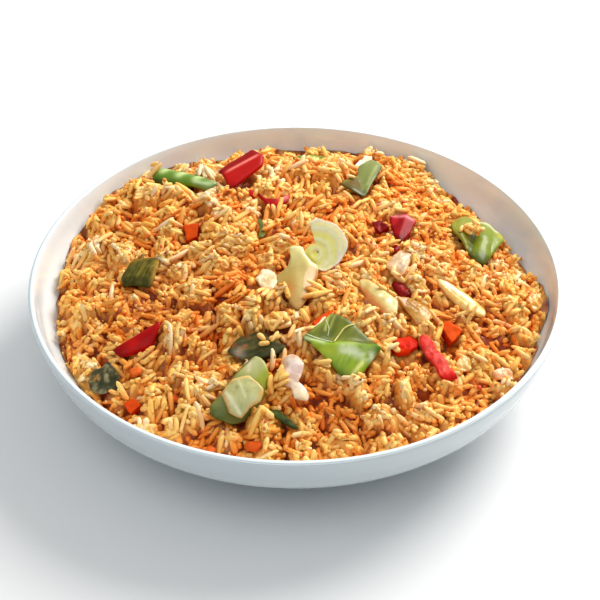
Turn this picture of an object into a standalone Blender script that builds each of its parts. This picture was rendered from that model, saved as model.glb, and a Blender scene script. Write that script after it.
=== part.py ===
"""Chilli garlic fried rice heaped in a white porcelain coupe bowl.

Lengths below are millimetres until MM turns them into metres. The foot ring
stands on z = 0, the bowl's axis is the Z axis and -Y is the front.
"""
import math
import random

import bmesh
import bpy
import numpy as np
from mathutils import Vector
from mathutils import geometry
from mathutils.bvhtree import BVHTree

MM = 0.001
SEED = 41

# ---- bowl -------------------------------------------------------------
SEGMENTS = 60
RIM_RADIUS = 120.0
BOWL_HEIGHT = 48.0
BASE_RADIUS = 66.0
WALL = 3.2
OUTER_DROP = 41.0
INNER_DROP = 37.0
FOOT_OUTER = 63.0
FOOT_INNER = 58.0
FOOT_RECESS = 5.5
RICE_GAP = 0.35

# ---- rice heap ----------------------------------------------------------
HEAP_TOP = 59.0
HEAP_RADIUS = 112.0
HEAP_POWER = 2.3
EDGE_MEAN = 32.5
RING_POINTS = 2 * SEGMENTS
FLOOR_POINTS = RING_POINTS // 4
CLUMP_SPACING = 11.5
CREVICE_DEPTH = 3.4
CREVICE_WIDTH = 1.9
GRAIN_PITCH = 2.95
GRAIN_LENGTH = 9.0
GRAIN_TRIES = 26000
VALLEY_PITCH = 2.2
VALLEY_TRIES = 30000
TOPPING_GAP = 0.3
SETTLE = 0.8

# The cabbage cut across its curl: steps round it and out from its hub (shares of the radius).
FAN_STEPS = 14
FAN_RINGS = 4
FAN_HUB = 0.14
FAN_CUP = 3.0
FAN_RIDGE = 0.45

# Where the heap's edge stands higher or lower on the wall:
# azimuth and half-width in degrees, height in mm.
EDGE_LOBES = (
    (66, 12, 7.0),
    (92, 14, 4.0),
    (136, 24, 8.0),
    (-3, 8, 6.0),
    (22, 20, -3.0),
    (-156, 30, -4.0),
)

# Broad mounds: x, y, radius, height.
MOUNDS = (
    (16, 80, 17, 3.5),
    (48, 74, 14, 3.0),
    (-60, 64, 16, 2.0),
    (-90, -14, 16, 2.5),
    (-12, -30, 18, 2.5),
    (30, 6, 18, 1.5),
    (-44, -34, 14, 1.5),
    (62, -74, 16, 1.5),
    (24, -86, 16, 1.5),
    (88, -28, 14, 2.0),
    (-46, -84, 12, 1.5),
)

# Dark hollows between clumps: x, y, radius, depth.
HOLLOWS = (
    (-88, 16, 7, 6.0),
    (-15, 38, 5, 5.0),
    (-61, -10, 5, 4.0),
    (-36, -44, 7, 5.0),
    (-27, -32, 5, 4.0),
    (-60, -57, 5, 5.0),
    (56, -74, 5, 5.0),
    (45, -88, 5, 5.0),
    (77, -55, 4, 4.0),
    (89, -41, 5, 4.0),
    (17, 57, 8, 4.5),
    (3, 60, 6, 3.5),
    (18, -66, 5, 4.5),
    (8, -74, 4, 3.5),
    (-4, -99, 5, 4.0),
    (12, -92, 6, 4.0),
    (-3, -88, 6, 4.0),
    (20, -23, 4, 3.5),
    (47, -15, 5, 4.0),
    (-37, -62, 5, 3.5),
    (-52, 20, 4, 3.0),
    (-83, 1, 6, 3.5),
    (-22, -92, 5, 3.5),
    (46, 19, 4, 3.0),
)


# ---- shared helpers -------------------------------------------------------
def clear_scene():
    for old in list(bpy.data.objects):
        bpy.data.objects.remove(old, do_unlink=True)


def material(name, colour, roughness=0.5):
    made = bpy.data.materials.new(name)
    made.use_nodes = True
    shader = made.node_tree.nodes["Principled BSDF"]
    shader.inputs["Base Color"].default_value = (*colour, 1.0)
    shader.inputs["Roughness"].default_value = roughness
    made.diffuse_color = (*colour, 1.0)
    return made


def solid(name, vertices, faces, surface, smooth=True):
    """One closed object from points in mm, with its faces turned outward."""
    mesh = bpy.data.meshes.new(name)
    mesh.from_pydata([Vector(v) * MM for v in vertices], [], faces)
    shell = bmesh.new()
    shell.from_mesh(mesh)
    bmesh.ops.recalc_face_normals(shell, faces=shell.faces)
    if shell.calc_volume(signed=True) < 0:
        bmesh.ops.reverse_faces(shell, faces=shell.faces)
    shell.to_mesh(mesh)
    shell.free()
    mesh.materials.append(surface)
    for face in mesh.polygons:
        face.use_smooth = smooth
    made = bpy.data.objects.new(name, mesh)
    bpy.context.scene.collection.objects.link(made)
    return made


# ---- bowl -------------------------------------------------------------
def arc(outer, drop, angles):
    """Quarter ellipse of the wall, from the rim down to the base."""
    span = outer - BASE_RADIUS
    points = []
    for angle in angles:
        turn = math.radians(angle)
        points.append((BASE_RADIUS + span * math.cos(turn), BOWL_HEIGHT - drop * math.sin(turn)))
    return points


INNER_PROFILE = arc(RIM_RADIUS - WALL, INNER_DROP, (4, 20, 38, 62, 90))


def bowl_profile():
    outside = list(reversed(arc(RIM_RADIUS, OUTER_DROP, (3, 18, 34, 51, 69, 90))))
    lip = [
        (RIM_RADIUS - 0.8, BOWL_HEIGHT - 0.3),
        (RIM_RADIUS - 1.7, BOWL_HEIGHT),
        (RIM_RADIUS - 2.6, BOWL_HEIGHT - 0.4),
    ]
    foot = [(FOOT_INNER, FOOT_RECESS), (FOOT_INNER, 0.0), (FOOT_OUTER, 0.0)]
    return foot + outside + lip + INNER_PROFILE


def lathe(name, profile, low_pole, high_pole, surface):
    vertices = []
    for radius, height in profile:
        for step in range(SEGMENTS):
            turn = 2 * math.pi * step / SEGMENTS
            vertices.append((radius * math.cos(turn), radius * math.sin(turn), height))
    faces = []
    for ring in range(len(profile) - 1):
        for step in range(SEGMENTS):
            after = (step + 1) % SEGMENTS
            low = ring * SEGMENTS
            high = low + SEGMENTS
            faces.append((low + step, low + after, high + after, high + step))
    last = (len(profile) - 1) * SEGMENTS
    vertices.append((0.0, 0.0, low_pole))
    vertices.append((0.0, 0.0, high_pole))
    for step in range(SEGMENTS):
        after = (step + 1) % SEGMENTS
        faces.append((len(vertices) - 2, after, step))
        faces.append((len(vertices) - 1, last + step, last + after))
    return solid(name, vertices, faces, surface)


# ---- rice surface ---------------------------------------------------------
def lobe_height(azimuth):
    height = EDGE_MEAN
    for centre, width, rise in EDGE_LOBES:
        apart = (azimuth - centre + 180.0) % 360.0 - 180.0
        height += rise * math.exp(-((apart / width) ** 2))
    return height


def heap_height(x, y):
    """The smooth heap, before clumps and grains."""
    radius = math.hypot(x, y)
    edge = lobe_height(math.degrees(math.atan2(y, x)))
    inward = 1.0 - min(1.0, radius / HEAP_RADIUS) ** HEAP_POWER
    return edge + (HEAP_TOP - edge) * inward


def scatter_clumps(chance):
    """Clump centres, each with its own rise and grain direction."""
    clumps = []
    for _ in range(4000):
        radius = 116.0 * math.sqrt(chance.random())
        turn = chance.uniform(0, 2 * math.pi)
        x = radius * math.cos(turn)
        y = radius * math.sin(turn)
        spacing = CLUMP_SPACING * chance.uniform(0.75, 1.25)
        if all(math.hypot(x - c[0], y - c[1]) > spacing for c in clumps):
            clumps.append((x, y, chance.uniform(-1.0, 2.2), chance.uniform(0, math.pi)))
    return clumps


class RiceSurface:
    def __init__(self, chance):
        self.clumps = scatter_clumps(chance)
        self.centres = np.array([(c[0], c[1]) for c in self.clumps])

    def nearest(self, x, y):
        apart = np.hypot(self.centres[:, 0] - x, self.centres[:, 1] - y)
        order = np.argpartition(apart, 1)[:2]
        first, second = sorted(order, key=lambda i: apart[i])
        return self.clumps[first], apart[first], apart[second]

    def height(self, x, y):
        clump, near, far = self.nearest(x, y)
        height = heap_height(x, y)
        height += clump[2] * (1.0 - math.exp(-(far - near) / 3.0))
        height += 0.8 - 0.02 * near * near
        height -= CREVICE_DEPTH * math.exp(-(((far - near) / CREVICE_WIDTH) ** 2))
        for mx, my, radius, rise in MOUNDS:
            height += rise * math.exp(-((x - mx) ** 2 + (y - my) ** 2) / radius ** 2)
        for hx, hy, radius, depth in HOLLOWS:
            height -= depth * math.exp(-((x - hx) ** 2 + (y - hy) ** 2) / radius ** 2)
        return height

    def direction(self, x, y):
        return self.nearest(x, y)[0][3]


def inner_radius(height):
    """Radius of the bowl's inner wall, on the flats between its corners."""
    heights = [p[1] for p in reversed(INNER_PROFILE)]
    radii = [p[0] for p in reversed(INNER_PROFILE)]
    return float(np.interp(height, heights, radii)) * math.cos(math.pi / SEGMENTS)


def edge_ring(surface, chance):
    """The heap's rim where it meets the wall."""
    ring = []
    for step in range(RING_POINTS):
        turn = 2 * math.pi * step / RING_POINTS
        rough = heap_height(112.5 * math.cos(turn), 112.5 * math.sin(turn))
        height = rough + chance.uniform(-1.2, 1.2)
        radius = inner_radius(height) - RICE_GAP
        ring.append((radius * math.cos(turn), radius * math.sin(turn), height))
    return ring


class Board:
    """A square grid that remembers which spots are already taken."""

    def __init__(self, half, cell):
        self.cell = cell
        self.half = half
        count = int(2 * half / cell) + 1
        self.taken = np.zeros((count, count), bool)

    def spot(self, x, y):
        return int((x + self.half) / self.cell), int((y + self.half) / self.cell)

    def free(self, points):
        return not any(self.taken[self.spot(x, y)] for x, y in points)

    def take(self, points, radius):
        reach = int(radius / self.cell) + 1
        for x, y in points:
            i, j = self.spot(x, y)
            for di in range(-reach, reach + 1):
                for dj in range(-reach, reach + 1):
                    if math.hypot(di, dj) * self.cell <= radius:
                        self.taken[i + di, j + dj] = True


def wall_limit(ring, x, y):
    """The ring's radius at this point's azimuth."""
    share = math.atan2(y, x) / (2 * math.pi) * RING_POINTS
    before = math.floor(share)
    first = ring[int(before) % RING_POINTS]
    second = ring[int(before + 1) % RING_POINTS]
    blend = share - before
    near = math.hypot(first[0], first[1])
    far = math.hypot(second[0], second[1])
    return near + (far - near) * blend


def grain_crests(surface, ring, chance):
    """Grain-sized ridges, laid side by side within each clump."""
    board = Board(124.0, 0.5)
    crests = []
    for attempt in range(GRAIN_TRIES):
        radius = 114.0 * math.sqrt(chance.random())
        turn = chance.uniform(0, 2 * math.pi)
        x = radius * math.cos(turn)
        y = radius * math.sin(turn)
        yaw = surface.direction(x, y) + chance.gauss(0, 0.30)
        shrink = 1.0 if attempt < 0.6 * GRAIN_TRIES else 0.55
        half = 0.5 * GRAIN_LENGTH * shrink * chance.uniform(0.75, 1.1)
        along = (math.cos(yaw), math.sin(yaw))
        marks = [(x + along[0] * half * k / 4, y + along[1] * half * k / 4) for k in range(-4, 5)]
        if any(math.hypot(*mark) > wall_limit(ring, *mark) - 2.2 for mark in marks):
            continue
        if not board.free(marks):
            continue
        board.take(marks, GRAIN_PITCH)
        rise = chance.uniform(0.5, 1.6)
        tip = chance.gauss(0, 0.5)
        middle = surface.height(x, y)
        start = marks[0]
        end = marks[-1]
        low = 0.45 * surface.height(*start) + 0.55 * middle
        high = 0.45 * surface.height(*end) + 0.55 * middle
        crests.append((
            (start[0], start[1], low + rise - tip),
            (end[0], end[1], high + rise + tip),
        ))
    return crests, board


def valley_points(surface, ring, crests, chance):
    board = Board(124.0, 0.5)
    for start, end in crests:
        for k in range(0, 9):
            mark = [(start[0] + (end[0] - start[0]) * k / 8, start[1] + (end[1] - start[1]) * k / 8)]
            board.take(mark, 1.15)
    points = []
    for _ in range(VALLEY_TRIES):
        radius = 114.0 * math.sqrt(chance.random())
        turn = chance.uniform(0, 2 * math.pi)
        x = radius * math.cos(turn)
        y = radius * math.sin(turn)
        if radius > wall_limit(ring, x, y) - 1.6 or not board.free([(x, y)]):
            continue
        board.take([(x, y)], VALLEY_PITCH)
        points.append((x, y, surface.height(x, y) - chance.uniform(0.3, 1.2)))
    return points


def topping_limit(trees, x, y, reach):
    """The lowest underside of any topping within reach of this spot."""
    lowest = None
    offsets = [(0, 0)]
    for step in range(8):
        turn = math.pi * step / 4
        offsets.append((reach * math.cos(turn), reach * math.sin(turn)))
    for dx, dy in offsets:
        start = Vector((x + dx, y + dy, 0.0)) * MM
        for tree in trees:
            hit = tree.ray_cast(start, Vector((0, 0, 1)))
            if hit[0] is not None:
                height = hit[0].z / MM
                lowest = height if lowest is None else min(lowest, height)
    return lowest


def clear_of_toppings(vertices, faces, trees, fixed):
    """Lower the rice wherever a face still meets a topping."""
    points = [list(v) for v in vertices]
    for _ in range(60):
        tree = BVHTree.FromPolygons([Vector(p) * MM for p in points], faces)
        touched = set()
        for other in trees:
            for face, _other in tree.overlap(other):
                touched.update(faces[face])
        touched = [i for i in touched if i >= fixed]
        if not touched:
            break
        for i in touched:
            points[i][2] -= 0.4
    return points


def rice_heap(toppings, surface_material):
    chance = random.Random(SEED)
    surface = RiceSurface(chance)
    ring = edge_ring(surface, chance)
    crests, _board = grain_crests(surface, ring, chance)
    valleys = valley_points(surface, ring, crests, chance)
    trees = [topping_tree(t) for t in toppings]

    inside = [end for crest in crests for end in crest] + valleys
    lowered = []
    for x, y, z in inside:
        limit = topping_limit(trees, x, y, 0.8)
        if limit is not None:
            z = min(z, limit - TOPPING_GAP)
        lowered.append((x, y, z))
    points = ring + lowered
    flat = [Vector((p[0], p[1])) for p in points]
    edges = [(i, (i + 1) % RING_POINTS) for i in range(RING_POINTS)]
    edges += [(RING_POINTS + 2 * i, RING_POINTS + 2 * i + 1) for i in range(len(crests))]
    done = geometry.delaunay_2d_cdt(flat, edges, [], 0, 1e-6)
    if len(done[0]) != len(points):
        raise ValueError("the rice's points must stay as they were given")
    top = []
    for face in done[2]:
        a, b, c = face
        if max(face) < RING_POINTS:
            middle = (flat[a] + flat[b] + flat[c]) / 3
            if middle.length > wall_limit(ring, middle.x, middle.y) - 0.02:
                continue
        top.append(tuple(face))
    points = clear_of_toppings(points, top, trees, RING_POINTS)

    # Under the rice: short rings that follow the bowl down to its floor.
    low = min(p[2] for p in ring)
    floor = INNER_PROFILE[-1][1] + 0.4
    first = len(points)
    shares = (0.66, 0.3, 0.06)
    for share in shares:
        height = floor + (low - floor) * share
        radius = inner_radius(height) - RICE_GAP
        for step in range(FLOOR_POINTS):
            turn = 2 * math.pi * step / FLOOR_POINTS
            points.append([radius * math.cos(turn), radius * math.sin(turn), height])
    points.append([0.0, 0.0, floor])
    under = []
    for k in range(RING_POINTS):
        lower = first + ((k + 2) // 4) % FLOOR_POINTS
        under.append((k, (k + 1) % RING_POINTS, lower))
    for i in range(FLOOR_POINTS):
        after = (i + 1) % FLOOR_POINTS
        under.append((first + i, (4 * i + 2) % RING_POINTS, first + after))
        for level in range(len(shares) - 1):
            upper = first + level * FLOOR_POINTS
            lower = upper + FLOOR_POINTS
            under.append((upper + i, upper + after, lower + after))
            under.append((upper + i, lower + after, lower + i))
        bottom = first + (len(shares) - 1) * FLOOR_POINTS
        under.append((bottom + i, bottom + after, len(points) - 1))
    return solid("rice", points, top + under, surface_material, smooth=False)


def topping_tree(made):
    corners = [v.co.copy() for v in made.data.vertices]
    return BVHTree.FromPolygons(corners, [tuple(f.vertices) for f in made.data.polygons])


# ---- toppings -------------------------------------------------------------
def sheet(name, grid, thickness, surface, smooth=True):
    """A closed slab: a grid of points, and the same grid offset below it."""
    rows = len(grid)
    columns = len(grid[0])
    upper = [Vector(p) for row in grid for p in row]
    lower = []
    for i in range(rows):
        for j in range(columns):
            along = Vector(grid[min(i + 1, rows - 1)][j]) - Vector(grid[max(i - 1, 0)][j])
            across = Vector(grid[i][min(j + 1, columns - 1)]) - Vector(grid[i][max(j - 1, 0)])
            normal = along.cross(across).normalized()
            lower.append(Vector(grid[i][j]) - normal * thickness)
    faces = []
    offset = len(upper)
    for i in range(rows - 1):
        for j in range(columns - 1):
            a = i * columns + j
            b = a + columns
            faces.append((a, b, b + 1))
            faces.append((a, b + 1, a + 1))
            faces.append((a + offset, b + 1 + offset, b + offset))
            faces.append((a + offset, a + 1 + offset, b + 1 + offset))
    border = [i * columns for i in range(rows)]
    border += [(rows - 1) * columns + j for j in range(1, columns)]
    border += [i * columns + columns - 1 for i in range(rows - 2, -1, -1)]
    border += [j for j in range(columns - 2, 0, -1)]
    for k, a in enumerate(border):
        b = border[(k + 1) % len(border)]
        faces.append((a, a + offset, b + offset))
        faces.append((a, b + offset, b))
    return solid(name, upper + lower, faces, surface, smooth)


def piece(name, corners, thickness, surface, steps=(4, 3), belly=0.0, arch=0.0, cup=0.0,
          fold=None, bend=0.0, ribs=0, rib_height=0.0, ragged=0.4, smooth=True):
    """A four-cornered slice lying on the heap.

    Corners are (x, y, lift above the smooth heap), going round anticlockwise
    as seen from above. The first edge runs from corner 0 to corner 1.
    """
    chance = random.Random(name)
    raised = [Vector((x, y, heap_height(x, y) + lift - SETTLE)) for x, y, lift in corners]
    along = (raised[1] - raised[0]) + (raised[2] - raised[3])
    across = (raised[3] - raised[0]) + (raised[2] - raised[1])
    normal = along.cross(across).normalized()
    if normal.z < 0:
        raise ValueError(name + " must go round anticlockwise")
    sideways = normal.cross(along).normalized()
    grid = []
    for i in range(steps[0] + 1):
        s = i / steps[0]
        row = []
        for j in range(steps[1] + 1):
            t = j / steps[1]
            near = raised[0].lerp(raised[1], s)
            far = raised[3].lerp(raised[2], s)
            point = near.lerp(far, t)
            rise = belly * 16 * s * (1 - s) * t * (1 - t)
            rise += arch * 4 * s * (1 - s)
            rise += cup * 4 * t * (1 - t)
            if ribs:
                rise += rib_height * math.sin(math.pi * ribs * s) ** 2
            if fold:
                a, b, c, height = fold
                rise += height * (1.0 - min(1.0, abs(a * s + b * t - c)))
            point = point + normal * rise
            point = point + sideways * bend * 4 * s * (1 - s)
            edge = i in (0, steps[0]) or j in (0, steps[1])
            if edge and ragged:
                point = point + sideways * chance.uniform(-ragged, ragged)
                point = point + along.normalized() * chance.uniform(-ragged, ragged)
            row.append(point)
        grid.append(row)
    return sheet(name, grid, thickness, surface, smooth)


def leaf_fan(name, centre, lift, axis, turns, radii, thickness, surface):
    """A curled leaf cut across: ridged rings about a hub, its outer edge raised."""
    axis = Vector(axis).normalized()
    across = (Vector((1, 0, 0)) - axis * axis.x).normalized()
    upward = axis.cross(across)
    hub = Vector((centre[0], centre[1], heap_height(centre[0], centre[1]) + lift))
    grid = []
    for i in range(FAN_STEPS + 1):
        share = i / FAN_STEPS
        turn = math.radians(turns[0] + (turns[1] - turns[0]) * share)
        radius = radii[0] + (radii[1] - radii[0]) * share
        out = across * math.cos(turn) + upward * math.sin(turn)
        row = []
        for j in range(FAN_RINGS + 1):
            reach = FAN_HUB + (1.0 - FAN_HUB) * j / FAN_RINGS
            rise = FAN_CUP * reach ** 2 + FAN_RIDGE * (-1) ** j
            row.append(hub + out * radius * reach + axis * rise)
        grid.append(row)
    return sheet(name, grid, thickness, surface)


# ---- build ----------------------------------------------------------------
clear_scene()

porcelain = material("porcelain", (0.86, 0.87, 0.87), 0.12)
grains = material("fried_rice", (0.86, 0.52, 0.20), 0.45)
green_skin = material("green_pepper", (0.26, 0.46, 0.07), 0.25)
dark_green = material("dark_greens", (0.10, 0.16, 0.07), 0.40)
red_skin = material("red_pepper", (0.66, 0.03, 0.02), 0.25)
carrot_cut = material("carrot", (0.90, 0.24, 0.03), 0.40)
cabbage_cut = material("cabbage", (0.80, 0.78, 0.45), 0.35)
onion_cut = material("onion", (0.82, 0.66, 0.38), 0.30)

bowl = lathe("bowl", bowl_profile(), FOOT_RECESS, INNER_PROFILE[-1][1], porcelain)

greens = [
    piece("green_pepper_ribbed", [(-41, 54, 1), (-38, 58, 3), (-67, 78, 5), (-69, 72, 1)], 2.2,
          green_skin, steps=(2, 6), ribs=0, cup=1.0),
    piece("green_pepper_olive", [(-78, -5, 2), (-64, -13, 2), (-61, 3, 3), (-72, 7, 3)], 1.8,
          green_skin, steps=(3, 3), belly=1.2),
    piece("green_pepper_folded", [(22, 58, 1), (32, 50, 1), (41, 78, 4), (33, 80, 5)], 1.8,
          green_skin, steps=(4, 4), fold=(1, 0, 0.6, 2.5)),
    piece("green_pepper_back", [(84, 13, 2), (98, 42, 4), (81, 50, 4), (74, 37, 2)], 2.4,
          green_skin, steps=(4, 4), belly=3.0),
    piece("green_pepper_crest", [(3, -57, 2), (22, -70, 1), (35, -59, 3), (15, -41, 3)], 2.2,
          green_skin, steps=(5, 5), fold=(1, 1, 1, 4.0)),
    piece("green_pepper_front", [(-34, -84, 1), (-29, -89, 1), (-12, -74, 3), (-19, -62, 3)], 2.2,
          green_skin, steps=(3, 5), belly=2.2),
    piece("green_pepper_shaded", [(-29, -56, -1), (-23, -61, -1), (-4, -56, 0), (-17, -47, 0)], 1.8,
          dark_green, steps=(3, 4), belly=1.0),
    piece("green_pepper_far_sliver", [(1, 92, 1), (14, 96, 1), (15, 104, 2), (1, 101, 2)], 1.5,
          green_skin, steps=(3, 2)),
    piece("green_pepper_shred", [(-18, 27, 1), (-16, 11, 1), (-13, 14, 1), (-16, 29, 1)], 1.2,
          green_skin, steps=(3, 1), ragged=0.0),
    piece("green_pepper_low_sliver", [(-11, -84, 0), (-1, -93, 0), (1, -91, 0), (-8, -83, 0)], 1.4,
          dark_green, steps=(3, 1), ragged=0.0),
    piece("dark_leaf", [(-89, -55, 1), (-79, -67, 1), (-75, -66, 3), (-82, -50, 3)], 1.4,
          dark_green, steps=(4, 4), belly=1.5, ribs=2, rib_height=0.8),
]

reds = [
    piece("red_pepper_wedge", [(-37, 73, 3), (-32, 61, 1), (-16, 77, 6), (-23, 86, 8)], 2.6,
          red_skin, steps=(4, 4), fold=(2, 0, 1.1, 2.5)),
    piece("red_pepper_curl", [(-16, 45, 1), (-4, 41, 2), (-3, 46, 3), (-18, 52, 2)], 1.8,
          red_skin, steps=(5, 2), bend=-5.0, cup=0.8, ragged=0.2),
    piece("red_pepper_dark", [(35, 27, 1), (38, 20, 1), (42, 24, 2), (39, 28, 2)], 2.0,
          red_skin, steps=(2, 2), ragged=0.3),
    piece("red_pepper_corner", [(46, 14, 1), (51, 21, 2), (55, 30, 3), (44, 32, 4)], 2.0,
          red_skin, steps=(3, 3), belly=1.0),
    piece("red_pepper_flake", [(43, -15, 0), (46, -24, 0), (50, -23, 1), (48, -15, 0)], 1.4,
          red_skin, steps=(3, 1), ragged=0.3),
    piece("red_pepper_left", [(-76, -49, 1), (-61, -46, 1), (-60, -37, 2), (-79, -45, 1)], 2.0,
          red_skin, steps=(4, 2), cup=1.0),
    piece("red_pepper_strip", [(53, -50, 2), (61, -66, 1), (66, -63, 3), (57, -46, 3)], 2.0,
          red_skin, steps=(5, 2), cup=0.6, bend=0.8),
    piece("red_pepper_stub", [(40, -51, 1), (47, -56, 1), (51, -52, 2), (46, -48, 2)], 2.6,
          carrot_cut, steps=(2, 2), belly=0.8),
]

carrots = [
    piece("carrot_1", [(-52, 26, 2), (-50, 15, 1), (-45, 17, 1), (-45, 26, 2)], 5.0,
          carrot_cut, steps=(2, 2), ragged=0.3, smooth=False),
    piece("carrot_2", [(62, -38, 2), (67, -47, 2), (72, -40, 3), (66, -36, 3)], 5.0,
          carrot_cut, steps=(2, 2), ragged=0.3, smooth=False),
    piece("carrot_3", [(7, -42, 0), (9, -45, 0), (17, -39, 1), (15, -36, 1)], 2.5,
          carrot_cut, steps=(1, 3), ragged=0.3, smooth=False),
    piece("carrot_4", [(-73, -72, 1), (-69, -78, 1), (-65, -75, 1), (-68, -71, 1)], 4.0,
          carrot_cut, steps=(2, 2), ragged=0.3, smooth=False),
]

cabbages = [
    leaf_fan("cabbage_roll", (10, -2), 3.0, (-0.10, -0.66, 0.74), (108, -158), (14.4, 7.0), 1.6,
             cabbage_cut),
    piece("cabbage_rib", [(-8, -16, 2), (1, -38, 1), (9, -14, 4), (1, -4, 4)], 1.8,
          cabbage_cut, steps=(4, 4), belly=2.0),
    piece("cabbage_scrap", [(-18, -15, 2), (-14, -26, 2), (-9, -23, 2), (-11, -12, 2)], 1.2,
          cabbage_cut, steps=(3, 2), belly=0.8),
    piece("cabbage_right", [(39, -6, 1), (47, -12, 2), (52, 3, 3), (46, 5, 3)], 1.2,
          cabbage_cut, steps=(3, 3), belly=1.2),
    piece("cabbage_far", [(28, 81, 1), (35, 81, 2), (38, 92, 4), (33, 93, 4)], 1.2,
          cabbage_cut, steps=(2, 3), ragged=0.2),
]

onions = [
    piece("onion_slice_1", [(27, -19, 1), (38, -39, 1), (44, -34, 2), (35, -21, 3)], 1.8,
          onion_cut, steps=(5, 2), cup=1.0, bend=1.5),
    piece("onion_slice_2", [(46, -28, 1), (50, -42, 1), (58, -35, 2), (54, -26, 2)], 1.6,
          onion_cut, steps=(4, 3), belly=1.2),
    piece("onion_slice_3", [(61, -16, 2), (80, -30, 1), (83, -24, 3), (69, -15, 3)], 1.6,
          onion_cut, steps=(5, 2), cup=1.0, bend=2.0),
    piece("onion_petal", [(-6, -66, 3), (-2, -79, 1), (4, -80, 2), (1, -64, 4)], 1.4,
          onion_cut, steps=(5, 3), belly=1.6),
    piece("onion_on_pepper", [(-29, -80, 6), (-20, -87, 6), (-15, -77, 7), (-25, -74, 7)], 1.0,
          onion_cut, steps=(3, 3), belly=1.4),
    piece("onion_edge", [(105, -15, 1), (110, -12, 1), (110, -6, 3), (104, -9, 2)], 1.6,
          onion_cut, steps=(2, 2), ragged=0.2),
    piece("onion_bit_1", [(69, -56, 2), (70, -59, 1), (75, -56, 1), (73, -52, 2)], 1.4,
          onion_cut, steps=(2, 2), ragged=0.2),
    piece("onion_bit_2", [(85, -56, 2), (86, -58, 1), (93, -55, 1), (92, -52, 2)], 1.4,
          onion_cut, steps=(1, 3), ragged=0.2),
    piece("onion_bit_3", [(-14, -39, 1), (-12, -46, 0), (-2, -45, 1), (-4, -38, 1)], 1.4,
          onion_cut, steps=(3, 3), belly=0.8),
]

rice_heap(greens + reds + carrots + cabbages + onions, grains)
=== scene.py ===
"""Looks of the bowl of chilli garlic fried rice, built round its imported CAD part.

Lengths in the tables are millimetres until MM turns them into metres. The
rice is laid grain by grain on a lowered copy of the CAD heap, and each slice
of vegetable is a finer, painted copy of its CAD solid.
"""
import math

import bmesh
import bpy
import numpy as np
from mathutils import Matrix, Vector


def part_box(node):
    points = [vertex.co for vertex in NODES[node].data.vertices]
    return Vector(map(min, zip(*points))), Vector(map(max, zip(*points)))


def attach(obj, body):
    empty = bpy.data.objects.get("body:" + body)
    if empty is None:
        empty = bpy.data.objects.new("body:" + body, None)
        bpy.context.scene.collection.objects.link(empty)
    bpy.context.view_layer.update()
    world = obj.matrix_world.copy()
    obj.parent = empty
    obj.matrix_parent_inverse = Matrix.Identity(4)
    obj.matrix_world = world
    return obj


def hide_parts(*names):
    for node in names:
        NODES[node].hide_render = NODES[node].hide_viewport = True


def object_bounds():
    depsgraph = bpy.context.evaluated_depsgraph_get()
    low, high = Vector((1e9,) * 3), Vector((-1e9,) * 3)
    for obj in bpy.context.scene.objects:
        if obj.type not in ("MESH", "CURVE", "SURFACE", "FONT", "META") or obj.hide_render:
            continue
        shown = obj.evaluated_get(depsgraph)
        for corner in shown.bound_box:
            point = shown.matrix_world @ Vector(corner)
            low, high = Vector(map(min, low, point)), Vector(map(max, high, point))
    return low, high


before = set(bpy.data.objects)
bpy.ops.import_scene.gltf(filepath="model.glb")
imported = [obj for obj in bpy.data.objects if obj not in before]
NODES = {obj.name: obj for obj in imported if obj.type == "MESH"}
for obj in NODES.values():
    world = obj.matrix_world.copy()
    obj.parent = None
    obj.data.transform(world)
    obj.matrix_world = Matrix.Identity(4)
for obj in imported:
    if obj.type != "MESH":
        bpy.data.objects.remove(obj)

CAD_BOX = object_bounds()
MM = 0.001


# ---- small tools --------------------------------------------------------
def srgb(red, green, blue):
    """A display colour, 0 to 255, as linear light."""
    value = np.array((red, green, blue)) / 255.0
    return np.where(value <= 0.04045, value / 12.92, ((value + 0.055) / 1.055) ** 2.4)


def lattice(ix, iy, iz, seed):
    """A fixed random number from -1 to 1 for each whole-number place."""
    n = ix * 374761393 + iy * 668265263 + iz * 1103515245 + seed * 974634777
    n = (n ^ (n >> 13)) & 0x7FFFFFFF
    n = (n * 1274126177) & 0x7FFFFFFF
    n = (n ^ (n >> 15)) & 0xFFFF
    return n / 32767.5 - 1.0


def noise(points, size, seed=0):
    """Smooth noise from -1 to 1 at points in mm, with lumps of that size."""
    place = np.asarray(points, float) / size + 1000.0
    cell = np.floor(place).astype(np.int64)
    part = place - cell
    part = part * part * (3.0 - 2.0 * part)
    total = 0.0
    for dx in (0, 1):
        wx = part[:, 0] if dx else 1.0 - part[:, 0]
        for dy in (0, 1):
            wy = part[:, 1] if dy else 1.0 - part[:, 1]
            for dz in (0, 1):
                wz = part[:, 2] if dz else 1.0 - part[:, 2]
                total = total + wx * wy * wz * lattice(
                    cell[:, 0] + dx, cell[:, 1] + dy, cell[:, 2] + dz, seed)
    return total


def rough_noise(points, size, seed=0, layers=3):
    """Noise with finer and fainter layers on top."""
    total = 0.0
    weight = 1.0
    for layer in range(layers):
        total = total + weight * noise(points, size * 0.5 ** layer, seed + 17 * layer)
        weight *= 0.5
    return total / 1.5


def smoothstep(low, high, value):
    """0 at low, 1 at high and smooth between; low may be the greater."""
    share = np.clip((value - low) / (high - low), 0.0, 1.0)
    return share * share * (3.0 - 2.0 * share)


def mix(first, second, share):
    """Blend rows of colour; share may be one number or one per row."""
    share = np.asarray(share, float)
    if share.ndim:
        share = share[:, None]
    return np.asarray(first) * (1.0 - share) + np.asarray(second) * share


def between(a, b, c, d, share):
    """A point on the smooth (Catmull-Rom) curve from b to c."""
    return 0.5 * (2 * b + (c - a) * share + (2 * a - 5 * b + 4 * c - d) * share ** 2
                  + (3 * b - a - 3 * c + d) * share ** 3)


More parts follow.
